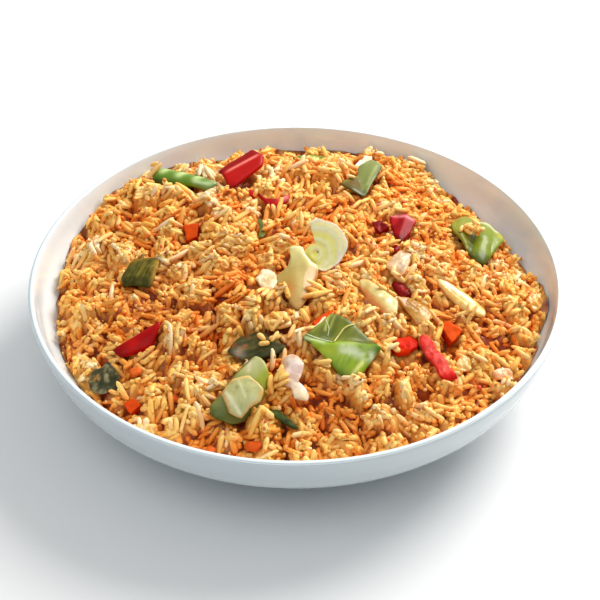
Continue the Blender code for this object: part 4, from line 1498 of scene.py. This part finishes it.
def carrots(material):
    for node, light, side in (("carrot_1", (196, 66, 8), (158, 30, 3)),
                              ("carrot_2", (214, 74, 6), (170, 36, 3)),
                              ("carrot_3", (213, 72, 13), (188, 44, 3)),
                              ("carrot_4", (210, 69, 13), (178, 38, 4))):
        cut = Block(node, crease=0.5)
        cut.push(0.35 * cut.rough(3.5, 2) + 0.15 * cut.rough(1.0, 4))
        # Faces that look up take the lighter colour and the sides the darker: painted light and shade.
        cut.base(light, side, smoothstep(0.55, 0.0, cut.up))
        cut.mottle(0.12 * cut.rough(1.4, 8))
        cut.finish(material, "carrot")


# -- cabbage and onion --
def slab_faces(rows, columns):
    """Triangles of two like grids of points, the upper one first, and of the edge between them."""
    count = rows * columns
    faces = []
    for i in range(rows - 1):
        for j in range(columns - 1):
            a = i * columns + j
            b = a + columns
            faces += [(a, b, b + 1), (a, b + 1, a + 1)]
            faces += [(a + count, b + 1 + count, b + count), (a + count, a + 1 + count, b + 1 + count)]
    border = [i * columns for i in range(rows)]
    border += [(rows - 1) * columns + j for j in range(1, columns)]
    border += [i * columns + columns - 1 for i in range(rows - 2, -1, -1)]
    border += [j for j in range(columns - 2, 0, -1)]
    for k, a in enumerate(border):
        b = border[(k + 1) % len(border)]
        faces += [(a, a + count, b + count), (a, b + count, b)]
    return faces


def cut_heart(material):
    """The cabbage cut across its curl: ridged leaves about a hub, the outer one raised."""
    cut = Cut("cabbage_roll")
    axis = np.array(Vector((-0.10, -0.66, 0.74)).normalized())
    across = np.array((1.0, 0.0, 0.0)) - axis * axis[0]
    across /= np.linalg.norm(across)
    upward = np.cross(axis, across)
    rows, columns = 96, 34
    s = np.repeat(np.linspace(0.0, 1.0, rows), columns)
    t = np.tile(np.linspace(0.0, 1.0, columns), rows)
    angle = 104.0 - 352.0 * s
    turn = np.radians(angle)
    spiral = ((-248.0, 4.2), (-200.0, 5.4), (-158.0, 6.9), (-90.0, 7.6), (-45.0, 10.4), (0.0, 12.8),
              (30.0, 14.2), (60.0, 14.8), (85.0, 14.0), (104.0, 13.0))
    radius = np.interp(angle, *np.array(spiral).T)
    radius = radius * (1.0 + (0.04 * np.sin(4.0 * turn + 0.6) + 0.02 * np.sin(9.0 * turn)) * t)
    reach = 0.04 + 0.96 * t
    away = radius * reach
    layer = away / 4.4 + 0.30 * np.sin(turn + 0.8) + 0.20 * rough_noise(
        np.stack((np.cos(turn) * away, np.sin(turn) * away, away), axis=1), 5.0, 8, 2)
    ridge = np.sin(math.pi * layer) ** 2
    rise = 3.0 * (away / 14.0) ** 2 + 0.7 * ridge * smoothstep(0.0, 2.0, away)
    rise = rise + 0.9 * smoothstep(0.82, 1.0, reach) * smoothstep(0.75, 0.5, s)
    out = across * np.cos(turn)[:, None] + upward * np.sin(turn)[:, None]
    upper = out * (radius * reach)[:, None] + axis * rise[:, None]
    upper = upper + axis * (0.35 * rough_noise(upper, 4.0, 5, 2))[:, None]
    lower = upper - axis * (1.5 - 0.4 * ridge)[:, None]
    middle = 0.5 * (upper.min(axis=0) + upper.max(axis=0)) - 0.8 * axis - 0.8 * across
    every = np.concatenate((upper, lower)) - middle + cut.centre
    cut.mesh = mesh_from(cut.node, every, slab_faces(rows, columns))
    cut.measure()
    ridge, reach, s = np.tile(ridge, 2), np.tile(reach, 2), np.tile(s, 2)
    veins = cut.rough(1.2, 9) * smoothstep(0.2, 0.6, reach)
    # The leaf's pale yellow, raised to full brightness: partly painted light, for light shining through the
    # leaf.
    cut.base((255, 255, 154), (255, 255, 185), smoothstep(0.0, 0.8, ridge + 0.25 * veins))
    cut.tint((255, 255, 235), 0.7 * smoothstep(0.55, 0.95, reach) * smoothstep(0.6, 0.2, s))
    cut.tint((255, 243, 105), 0.7 * smoothstep(0.50, 0.60, s) * smoothstep(0.95, 0.85, s))
    cut.tint((254, 253, 232), smoothstep(0.90, 0.98, reach) * smoothstep(0.6, 0.35, s))
    cut.mottle(0.07 * cut.rough(1.6, 3))
    cut.finish(material, "cabbage")


def cabbage_rib(material):
    def form(x, y):
        off = x - 1.0 - 0.10 * y
        across = -0.050 * np.maximum(off, 0.0) ** 2 - 0.016 * np.minimum(off, 0.0) ** 2
        return 1.8 + across + 0.012 * np.maximum(y, 0.0) ** 2 - 0.006 * np.minimum(y, 0.0) ** 2

    outline = [(-3.5, 16.5), (2, 16), (3.5, 12.5), (6.5, 9.5), (9, 8.5), (9, 4), (6.5, -3), (4.5, -10),
               (0.5, -16), (-3, -13), (-5.5, -6.5), (-9, -0.5), (-9, 4), (-4.5, 7.5), (-3, 12)]
    cut = Sheet("cabbage_rib", outline, 2.0, form, rings=22, segments=96, ragged=0.15)
    lines = cut.fibres(82.0, 2.4, 20.0)
    cut.push(0.10 * lines)
    cut.base((181, 149, 68), (187, 172, 93), smoothstep(0.0, 13.0, cut.y))
    cut.tint((192, 152, 86), 0.7 * smoothstep(-2.0, -12.0, cut.y))
    cut.tint((185, 110, 32), 0.85 * cut.spot(-5.5, -5.5, 4.2))
    cut.tint((194, 132, 70), 0.7 * smoothstep(3.5, 7.5, cut.x - 0.30 * cut.y))
    cut.tint((226, 214, 140), 0.75 * smoothstep(5.0, 13.0, cut.y))
    # A pale line along the top edge: painted highlight.
    cut.tint((240, 232, 184), 0.9 * cut.line((-1.5, 17.0), (8.5, 8.0), 1.5))
    cut.tint((205, 187, 120), 0.6 * cut.line((0.0, 10.0), (1.5, -8.0), 1.8))
    cut.mottle(0.04 * lines)
    cut.finish(material, "cabbage")


def limp_piece(node, outline, thickness, form, tones, crumpled, size, tightness=0.5, fibre=60.0, width=1.6):
    """Cooked leaf or onion: soft folds, with pale crests and hollows of a deeper colour, as painted highlight
    and shade on the folds.
    """
    def folded(x, y):
        return form(x, y) + crumpled * crumple(x, y, size, 7)

    cut = Sheet(node, outline, thickness, folded, tightness=tightness, ragged=0.35, rings=18, segments=72)
    lines = cut.fibres(fibre, width, 12.0)
    cut.push(0.12 * lines)
    folds = crumple(cut.x, cut.y, size, 7)
    low, middle, high = tones
    # Crests take the light colour and hollows the deep one: painted light and shade on the folds.
    cut.base(middle, high, 0.9 * smoothstep(0.05, 0.6, folds + 0.25 * lines))
    cut.tint(low, 0.9 * smoothstep(-0.05, -0.5, folds + 0.2 * lines))
    cut.tint((216, 140, 58), 0.55 * cut.border())
    return cut


def cabbage_bits(material):
    outline = [(-4.5, 1), (-1, 7), (3.5, 5.5), (6, 0), (3.5, -6.5), (0.5, -8.5), (-3, -3)]
    tones = (208, 176, 118), (232, 212, 170), (252, 246, 226)
    cut = limp_piece("cabbage_scrap", outline, 1.2, lambda x, y: 1.2 - 0.03 * (x * x + 0.5 * y * y), tones,
                     0.7, 3.4, fibre=80.0, width=1.1)
    cut.tint((226, 170, 90), 0.6 * cut.spot(1.5, -7.5, 3.0))
    cut.finish(material, "cabbage")

    outline = [(-6, -2), (0, 5.5), (2, 8.5), (6.5, 6.5), (4.5, -3), (2, -9), (-2.5, -8)]
    tones = (183, 144, 94), (197, 168, 128), (215, 191, 177)
    cut = limp_piece("cabbage_right", outline, 1.2, lambda x, y: 0.8 - 0.02 * (x + 0.5 * y) ** 2, tones,
                     0.6, 4.0, fibre=65.0)
    cut.tint((226, 160, 84), 0.5 * cut.spot(-4.0, -4.0, 3.0))
    cut.finish(material, "cabbage")

    outline = [(-4.5, -5), (2, -6), (4, 0), (4.5, 5.5), (-0.5, 6.5), (-2.5, 0)]
    tones = (214, 184, 130), (232, 216, 178), (248, 242, 226)
    cut = limp_piece("cabbage_far", outline, 1.2, lambda x, y: 0.4, tones, 0.6, 3.0)
    cut.finish(material, "cabbage")


def onion_slices(material):
    def arched(angle, bend, lift):
        def form(x, y):
            _, v = turned(x, y, angle)
            return lift - bend * v * v
        return form

    outline = [(-7.5, 10), (-3.5, 10.5), (3, 4.5), (9, -1.5), (8, -9), (2, -8), (-4, -1), (-7, 5)]
    tones = (188, 158, 84), (210, 190, 116), (232, 220, 164)
    cut = limp_piece("onion_slice_1", outline, 1.5, arched(-48.0, 0.035, 1.5), tones, 0.15, 4.5,
                     fibre=-50.0, width=1.1)
    cut.tint((196, 112, 34), 0.85 * cut.line((-6.0, 4.0), (2.0, -7.0), 1.8))
    # Two small white spots: painted glints.
    cut.tint((255, 254, 242), 0.95 * cut.spot(5.0, -2.5, 1.1))
    cut.tint((255, 252, 236), 0.8 * cut.spot(1.5, 0.5, 0.7))
    cut.finish(material, "onion")

    outline = [(-8, 6.5), (-2.5, 8.5), (4, 6), (7, 0), (5.5, -5.5), (0, -6.5), (-5, 1)]
    tones = (146, 93, 4), (170, 115, 11), (187, 133, 25)
    cut = limp_piece("onion_slice_2", outline, 1.4, arched(-40.0, 0.04, 1.4), tones, 0.6, 4.0, fibre=-50.0)
    cut.tint((230, 192, 124), 0.6 * cut.spot(3.0, -3.5, 3.0))
    cut.finish(material, "onion")

    outline = [(-9.5, 9), (-3.5, 9.8), (5, 5), (11.5, -1.5), (10.5, -7), (3, -5.5), (-5, 1), (-9, 6)]
    tones = (212, 150, 58), (226, 184, 92), (242, 214, 142)
    cut = limp_piece("onion_slice_3", outline, 1.6, arched(-36.0, 0.07, 1.8), tones, 0.5, 4.0,
                     fibre=-38.0, width=1.0)
    # A white strip along one edge: painted highlight.
    cut.tint((255, 248, 220), 0.95 * cut.line((-5.5, 8.0), (6.0, 0.0), 0.9))
    cut.finish(material, "onion")


def onion_petal(material):
    def form(x, y):
        return 1.8 - 0.05 * x * x + 1.1 * np.exp(-(((x - 3.0) ** 2 + (y + 9.0) ** 2) / 9.0))

    outline = [(0, 8), (4.5, 4.5), (3.2, -1.5), (2, -4.5), (6.5, -8), (5.5, -11.5), (0.5, -11), (-1, -6.5),
               (-5.5, -3), (-5.5, 3), (-3.5, 7)]
    tones = (206, 168, 138), (232, 208, 186), (246, 234, 228)
    cut = limp_piece("onion_petal", outline, 1.3, form, tones, 0.55, 3.4, fibre=80.0)
    cut.tint((218, 192, 196), 0.5 * cut.spot(1.0, 1.0, 3.0))
    # A pale spot at the lower end: painted highlight.
    cut.tint((248, 224, 180), cut.spot(3.0, -9.0, 2.8))
    cut.tint((232, 176, 110), 0.8 * smoothstep(-2.5, -5.5, cut.x))
    cut.finish(material, "onion")


def onion_on_pepper(material):
    outline = [(-8.5, -1), (-4, 4.5), (3, 5), (9, -0.5), (8, -5.5), (3, -8.5), (0, -11.5), (-5, -9)]
    tones = (160, 160, 92), (184, 180, 116), (206, 200, 148)
    cut = limp_piece("onion_on_pepper", outline, 0.9, lambda x, y: 1.3 - 0.016 * (x * x + y * y), tones,
                     0.45, 4.5, tightness=0.3, fibre=75.0)
    cut.tint((236, 196, 110), 0.7 * cut.line((-4.5, 4.0), (3.5, 4.6), 0.8))
    cut.tint((226, 222, 176), 0.8 * cut.line((-6.5, -1.5), (-0.5, -10.0), 0.7))
    cut.tint((226, 222, 170), 0.6 * cut.line((-1.5, 3.0), (1.5, -4.0), 0.6))
    cut.finish(material, "onion")


# Small bits of onion: node, outline, colours of the hollows' painted shade, the middle and the crests'
# painted highlight.
ONION_BITS = (
    ("onion_edge", [(-3, -2.5), (0, -5), (3.5, -2), (3, 4), (-2, 3.5)],
     ((206, 132, 44), (228, 170, 78), (242, 206, 130))),
    ("onion_bit_1", [(-3.5, -1), (-1.5, -4), (3, -2), (2.5, 3), (-1, 4)],
     ((206, 150, 72), (226, 182, 106), (242, 220, 166))),
    ("onion_bit_2", [(-4.5, -1), (-3, -3.5), (4.5, -1.5), (4, 3), (-1, 2.5)],
     ((214, 142, 88), (230, 176, 128), (244, 210, 178))),
    ("onion_bit_3", [(-6, 3), (-5, -3.5), (1, -4.5), (6, -2.5), (5, 4), (0, 4.5)],
     ((216, 140, 50), (236, 184, 96), (246, 216, 150))),
)


def onion_bits(material):
    for node, outline, tones in ONION_BITS:
        cut = limp_piece(node, outline, 1.4, lambda x, y: 0.7 - 0.03 * (x * x + y * y), tones, 0.8, 2.6)
        cut.finish(material, "onion")


# -- what is too small for the CAD part --
# Scraps: name, x and y in mm, length, width, yaw in degrees, colour, slot.
SCRAPS = (
    ("pepper_scrap_far", -21, 54, 6.0, 2.8, 110, (192, 22, 19), "red_pepper"),
    ("pepper_scrap_right", 76, 50, 5.0, 4.0, 20, (173, 28, 19), "red_pepper"),
    ("pepper_scrap_middle", 45, 9, 5.0, 3.4, 70, (139, 9, 15), "red_pepper"),
    ("carrot_scrap_front", -17, -99, 6.5, 4.6, 10, (206, 84, 26), "carrot"),
    ("carrot_scrap_front_left", -35, -101, 5.4, 4.0, 60, (210, 94, 32), "carrot"),
    ("carrot_scrap_left", -68, -60, 5.4, 4.2, 40, (212, 96, 34), "carrot"),
    ("carrot_scrap_low", -51, -74, 5.6, 3.2, -10, (208, 90, 30), "carrot"),
)


def make_scraps(cad_top, red, orange):
    """Small rough blocks of pepper and carrot on the rice."""
    unit, faces = ball(3, 0.5)
    boxy = np.sign(unit) * np.abs(2.0 * unit) ** 0.75 * 0.5
    for number, (name, x, y, length, width, yaw, tone, slot) in enumerate(SCRAPS):
        points = boxy * (length, width, 0.7 * width)
        points = points * (1.0 + 0.26 * rough_noise(unit * 4.0, 2.0, number, 2))[:, None]
        along, across = turned(points[:, 0], points[:, 1], -yaw)
        level = cad_top[cells(x, y)] + 0.12 * width
        place = np.stack((along + x, across + y, points[:, 2] + level), axis=1)
        mesh = mesh_from(name, place, faces)
        shade = 1.0 + 0.30 * rough_noise(place, 2.0, 4, 2)
        paint(mesh, srgb(*tone) * shade[:, None])
        TOPPINGS.append(new_object(name, mesh, red if slot == "red_pepper" else orange))


# Threads on the large green pepper: name, places from its centre in mm, radius, colour.
THREADS = (
    ("onion_thread", ((-3, -2.5), (-0.5, 2), (2, 5), (6, 7)), 0.42, (206, 196, 112)),
    ("pepper_thread_1", ((-14.5, 2), (-10, -0.5), (-4, -2.5)), 0.26, (216, 226, 178)),
    ("pepper_thread_2", ((-6.5, 9.5), (-5, 5), (-5.5, 1)), 0.20, (190, 204, 160)),
)
THREAD_SIDES = 7


def thread_line(places):
    """Close points along a bent line through a few places."""
    curve = np.array(places, float)
    ends = np.concatenate((2 * curve[:1] - curve[1:2], curve, 2 * curve[-1:] - curve[-2:-1]))
    line = []
    for k in range(1, len(ends) - 2):
        for share in np.linspace(0.0, 1.0, 10, endpoint=k == len(ends) - 3):
            line.append(between(*ends[k - 1:k + 3], share))
    return np.array(line)


def make_thread(name, heights, places, radius, tone, material):
    """A thin bent thread that lies on another piece."""
    line = thread_line(places)
    level = heights[cells(line[:, 0], line[:, 1])]
    level = np.where(np.isfinite(level), level, np.nanmean(level))
    level = np.convolve(np.pad(level, 4, mode="edge"), np.ones(9) / 9.0, mode="valid")
    along = np.gradient(line, axis=0)
    along /= np.linalg.norm(along, axis=1)[:, None]
    points = []
    for k, (x, y) in enumerate(line):
        share = k / (len(line) - 1)
        size = radius * (0.25 + 0.75 * math.sin(math.pi * min(1.0, 0.04 + 0.92 * share)) ** 0.35)
        for m in range(THREAD_SIDES):
            turn = 2 * math.pi * m / THREAD_SIDES
            off = size * math.cos(turn)
            points.append((x - along[k, 1] * off, y + along[k, 0] * off,
                           level[k] + 0.6 * radius + size * math.sin(turn)))
    faces = tube_faces(len(line), THREAD_SIDES)
    last = (len(line) - 1) * THREAD_SIDES
    for m in range(1, THREAD_SIDES - 1):
        faces += [(0, m + 1, m), (last, last + m, last + m + 1)]
    mesh = mesh_from(name, np.array(points), faces)
    shade = 1.0 + 0.10 * rough_noise(coordinates(mesh), 1.5, 6, 2)
    paint(mesh, srgb(*tone) * shade[:, None])
    new_object(name, mesh, material)


# Looks of the vegetables: grain scale, bump depth in m, roughness where dry and wet, share and
# radius of light under the skin, mottling, coat, shine.
FLESH = {
    "green_pepper_flesh": (260.0, 0.00004, 0.42, 0.26, 0.06, (0.5, 1.0, 0.1), 0.10, 0.06, 0.28),
    "dark_green_leaf": (420.0, 0.00012, 0.66, 0.44, 0.04, (0.4, 1.0, 0.3), 0.30, 0.0, 0.15),
    "red_pepper_flesh": (260.0, 0.00004, 0.46, 0.30, 0.06, (1.0, 0.2, 0.1), 0.10, 0.03, 0.1),
    "red_pepper_inside": (420.0, 0.00010, 0.60, 0.45, 0.10, (1.0, 0.3, 0.2), 0.14, 0.0, 0.03),
    "carrot_flesh": (420.0, 0.00006, 0.58, 0.42, 0.12, (1.0, 0.4, 0.1), 0.12, 0.0, 0.05),
    "cabbage_flesh": (300.0, 0.00005, 0.42, 0.26, 0.55, (2.6, 2.2, 1.1), 0.06, 0.12, 0.4),
    "onion_flesh": (300.0, 0.00005, 0.38, 0.20, 0.20, (1.0, 0.7, 0.35), 0.07, 0.15, 0.4),
}


def make_toppings(cad_top):
    """Every slice of vegetable, then the scraps and threads."""
    green, dark, red, dull, orange, leaf, onion = (food_material(name, *look) for name, look in FLESH.items())
    ribbed_pepper(green)
    olive_pepper(dark)
    folded_pepper(green)
    back_pepper(green)
    crest = crest_pepper(green)
    front_pepper(green)
    shaded_pepper(dark)
    green_slivers(green, dark)
    withered_leaf(dark)
    for make in (red_wedge, red_curl, red_lumps, red_corner, red_left):
        make(red)
    red_strip(dull)
    red_stub(orange)
    carrots(orange)
    for make in (cut_heart, cabbage_rib, cabbage_bits):
        make(leaf)
    for make in (onion_slices, onion_petal, onion_on_pepper, onion_bits):
        make(onion)
    make_scraps(cad_top, red, orange)
    heights = height_map(crest.mesh)
    for name, places, radius, tone in THREADS:
        make_thread(name, heights, np.array(places) + crest.centre[:2], radius, tone, onion)


# ---- the heap -----------------------------------------------------------------
# Hollows in the rice beside the vegetables, where the grains and core also take painted shade: node, place
# from its centre in mm, reach, depth.
HOLLOWS = (
    ("cabbage_rib", -11.0, -14.0, 5.0, 2.4),
    ("green_pepper_shaded", 4.0, 9.0, 6.0, 2.0),
    ("green_pepper_shaded", 14.0, -6.0, 4.0, 2.2),
    ("onion_petal", 9.0, -6.0, 5.0, 2.4),
    ("onion_petal", -9.0, 6.0, 3.5, 1.8),
    ("green_pepper_olive", 6.0, -14.0, 5.0, 2.2),
    ("green_pepper_olive", -14.0, 2.0, 5.0, 1.8),
    ("red_pepper_curl", 3.0, -10.0, 4.0, 2.0),
    ("onion_slice_1", 10.0, 9.0, 4.0, 2.2),
    ("onion_slice_1", -8.0, -9.0, 4.5, 2.0),
    ("red_pepper_strip", 0.0, -18.0, 5.0, 2.0),
    ("red_pepper_left", 12.0, -6.0, 6.0, 1.8),
    ("green_pepper_crest", -14.0, -16.0, 5.0, 2.0),
)


def over_cells(size, seed, layers=3):
    """Level noise with a value for each cell."""
    spots = np.stack(np.meshgrid(AXIS, AXIS, [0.0], indexing="ij"), axis=-1).reshape(-1, 3)
    return rough_noise(spots, size, seed, layers).reshape(COUNT, COUNT)


def heap_relief(chance):
    """Clumps of rice, and how far the heap stands above or below the CAD heap."""
    clumps = Clumps(chance, CLUMP_SPACING)
    knobs = Clumps(chance, KNOB_SPACING)
    split = smoothstep(-0.35, 0.5, over_cells(17.0, 41, 2))
    broad = over_cells(32.0, 53, 2)
    uneven = over_cells(13.0, 61)
    crease = clumps.relief(rise=1.8, dome=4.2, crease=0.3 + 4.2 * split, crease_width=2.2) - 2.6
    crease += knobs.relief(rise=0.5, dome=1.8, crease=0.5, crease_width=0.9) - 0.8
    crease += 1.6 * broad + 1.8 * uneven - 1.5 * np.exp(-((uneven / 0.14) ** 2)) * (1.0 - split)
    for node, dx, dy, reach, depth in HOLLOWS:
        x, y = node_centre(node)[:2] + (dx, dy)
        crease -= depth * np.exp(-((AXIS[:, None] - x) ** 2 + (AXIS[None, :] - y) ** 2) / reach ** 2)
    return clumps, crease


def inner_profile(rings):
    """Radii and heights of the bowl's inside, from its floor to just under the lip."""
    _, lip, inner_wall, _, _, _ = split_profile(rings)
    wall = sorted([(z, r) for r, z in inner_wall] + [(max(z for _, z in rings), lip[0] - 1.5)])
    return np.array([r for _, r in wall]), np.array([z for z, _ in wall])


def build_rice(rings, cad_top):
    """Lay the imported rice, then the bedded, broken, resting, standing and clinging grains."""
    chance = np.random.default_rng(SEED)
    smooth = blurred(cad_top, 1.4)
    smooth[~np.isfinite(cad_top)] = np.nan
    clumps, crease = heap_relief(chance)
    loose = smoothstep(-0.35, 0.45, over_cells(34.0, 77, 2))
    heap = Heap(smooth + crease, crease, loose, inner_profile(rings), chance)

    covers = np.full((COUNT, COUNT), np.nan)
    for piece in TOPPINGS:
        under = height_map(piece.data, highest=False)
        heap.ceiling = np.fmin(heap.ceiling, np.where(np.isfinite(under), under, NO_CEILING))
        covers = np.fmax(covers, height_map(piece.data))
    mash = food_material("rice_core_mash", 600.0, 0.0002, 0.65, 0.40, 0.10, (1.0, 0.45, 0.18), spread=0.22)
    floor = height_map(make_core(heap, mash).data)
    heap.height = np.where(np.isfinite(floor), floor, 0.0)

    bed_grains(heap, clumps, BEDDED_TRIES, BEDDED_HALF, gap=1.75, depth=0.9)
    heap.blocked = np.isfinite(covers)
    heap.height = np.where(heap.blocked, np.fmax(covers, heap.height), heap.height)
    heap.ceiling[:] = NO_CEILING
    bed_grains(heap, clumps, BROKEN_TRIES, BROKEN_HALF, gap=1.5, depth=0.4)
    rest_grains(heap, clumps, RESTING_TRIES, top=1.2)
    stand_grains(heap, clumps, STANDING_TRIES)
    stuck_grains(heap, clumps)
    grain = food_material("rice_grain", 700.0, 0.00003, 0.60, 0.42, 0.30, (0.8, 0.40, 0.20), spread=0.08,
                          shine=0.25)
    make_grains(heap, clumps, grain)

    crumb = food_material("crumb", 900.0, 0.00005, 0.60, 0.36, 0.14, (1.0, 0.4, 0.2), spread=0.1)
    garlic = [srgb(244, 184, 84), srgb(240, 168, 62), srgb(232, 140, 42), srgb(248, 204, 120)]
    chilli = [srgb(214, 70, 22), srgb(180, 40, 18), srgb(130, 44, 16)]
    make_crumbs(heap, crumb, GARLIC_CRUMBS, "garlic_crumbs", garlic, size=0.80)
    make_crumbs(heap, crumb, CHILLI_CRUMBS, "chilli_crumbs", chilli, size=0.55)


# ---- stage ---------------------------------------------------------------------
# All in metres. Lamps: name, place, size, power, colour; the first stands for a window.
FLOOR_HALF = 3.0
LAMPS = (
    ("window", (0.62, 0.62, 0.78), 0.80, 19.0, (1.0, 0.985, 0.95)),
    ("fill", (-0.32, -0.46, 0.94), 0.90, 2.6, (0.96, 0.99, 1.0)),
)
LAMP_AIM = Vector((0.0, 0.0, 0.04))
# The camera looks down at a place near the middle of the dish.
AIM_OFFSET = (0.0018, -0.0191, 0.0112)
ELEVATION = math.radians(39.94)
DISTANCE = 0.700
LENS = 95.1
SENSOR = 36.0


def make_floor():
    graph = Graph("pale_table")
    graph.feed(graph.mix_rgba(graph.noise(3.0, 2.0), (0.78, 0.78, 0.78), (0.80, 0.80, 0.80)))
    graph.set(Roughness=0.85)
    mesh = bpy.data.meshes.new("table_top")
    corners = [(FLOOR_HALF * x, FLOOR_HALF * y, 0.0) for x, y in ((-1, -1), (1, -1), (1, 1), (-1, 1))]
    mesh.from_pydata(corners, [], [(0, 1, 2, 3)])
    mesh.materials.append(graph.material)
    floor = bpy.data.objects.new("table_top", mesh)
    bpy.context.scene.collection.objects.link(floor)


def area_light(name, place, size, power, colour):
    data = bpy.data.lights.new(name, "AREA")
    data.shape = "DISK"
    data.size = size
    data.energy = power
    data.color = colour
    lamp = bpy.data.objects.new(name, data)
    lamp.location = place
    lamp.rotation_euler = (LAMP_AIM - Vector(place)).to_track_quat("-Z", "Y").to_euler()
    bpy.context.scene.collection.objects.link(lamp)


def make_light():
    """A grey room, lighter towards one side of its ceiling, and the lamps."""
    world = bpy.data.worlds.new("soft_room")
    bpy.context.scene.world = world
    world.use_nodes = True
    tree = world.node_tree
    background = tree.nodes["Background"]
    background.inputs["Strength"].default_value = 1.0
    place = tree.nodes.new("ShaderNodeTexCoord")
    facing = tree.nodes.new("ShaderNodeVectorMath")
    facing.operation = "DOT_PRODUCT"
    facing.inputs[1].default_value = Vector((0.15, 0.42, 0.90)).normalized()
    ramp = tree.nodes.new("ShaderNodeValToRGB")
    tree.links.new(place.outputs["Generated"], facing.inputs[0])
    tree.links.new(facing.outputs["Value"], ramp.inputs["Fac"])
    tree.links.new(ramp.outputs["Color"], background.inputs["Color"])
    stops = ramp.color_ramp.elements
    stops[0].position, stops[0].color = 0.0, (0.24, 0.27, 0.29, 1.0)
    stops[1].position, stops[1].color = 1.0, (0.76, 0.77, 0.76, 1.0)
    middle = stops.new(0.4)
    middle.color = (0.42, 0.44, 0.455, 1.0)
    for lamp in LAMPS:
        area_light(*lamp)


def make_camera():
    low, high = (np.array(corner) for corner in CAD_BOX)
    middle = (low + high) / 2
    aim = middle + np.array(AIM_OFFSET)
    data = bpy.data.cameras.new("view")
    data.lens = LENS
    data.sensor_width = SENSOR
    camera = bpy.data.objects.new("view", data)
    camera.location = (aim[0], aim[1] - DISTANCE * math.cos(ELEVATION),
                       aim[2] + DISTANCE * math.sin(ELEVATION))
    camera.rotation_euler = (math.pi / 2 - ELEVATION, 0.0, 0.0)
    bpy.context.scene.collection.objects.link(camera)
    bpy.context.scene.camera = camera


def set_view():
    """Plain colours, with no tone curve."""
    view = bpy.context.scene.view_settings
    view.view_transform = "Standard"
    view.look = "None"
    view.exposure = 0.0
    view.gamma = 1.0


make_camera()
make_floor()
make_light()
set_view()
profile_rings = bowl_rings()
make_bowl(profile_rings, porcelain_material())
heap_top = height_map(NODES["rice"].data)
make_toppings(heap_top)
build_rice(profile_rings, heap_top)
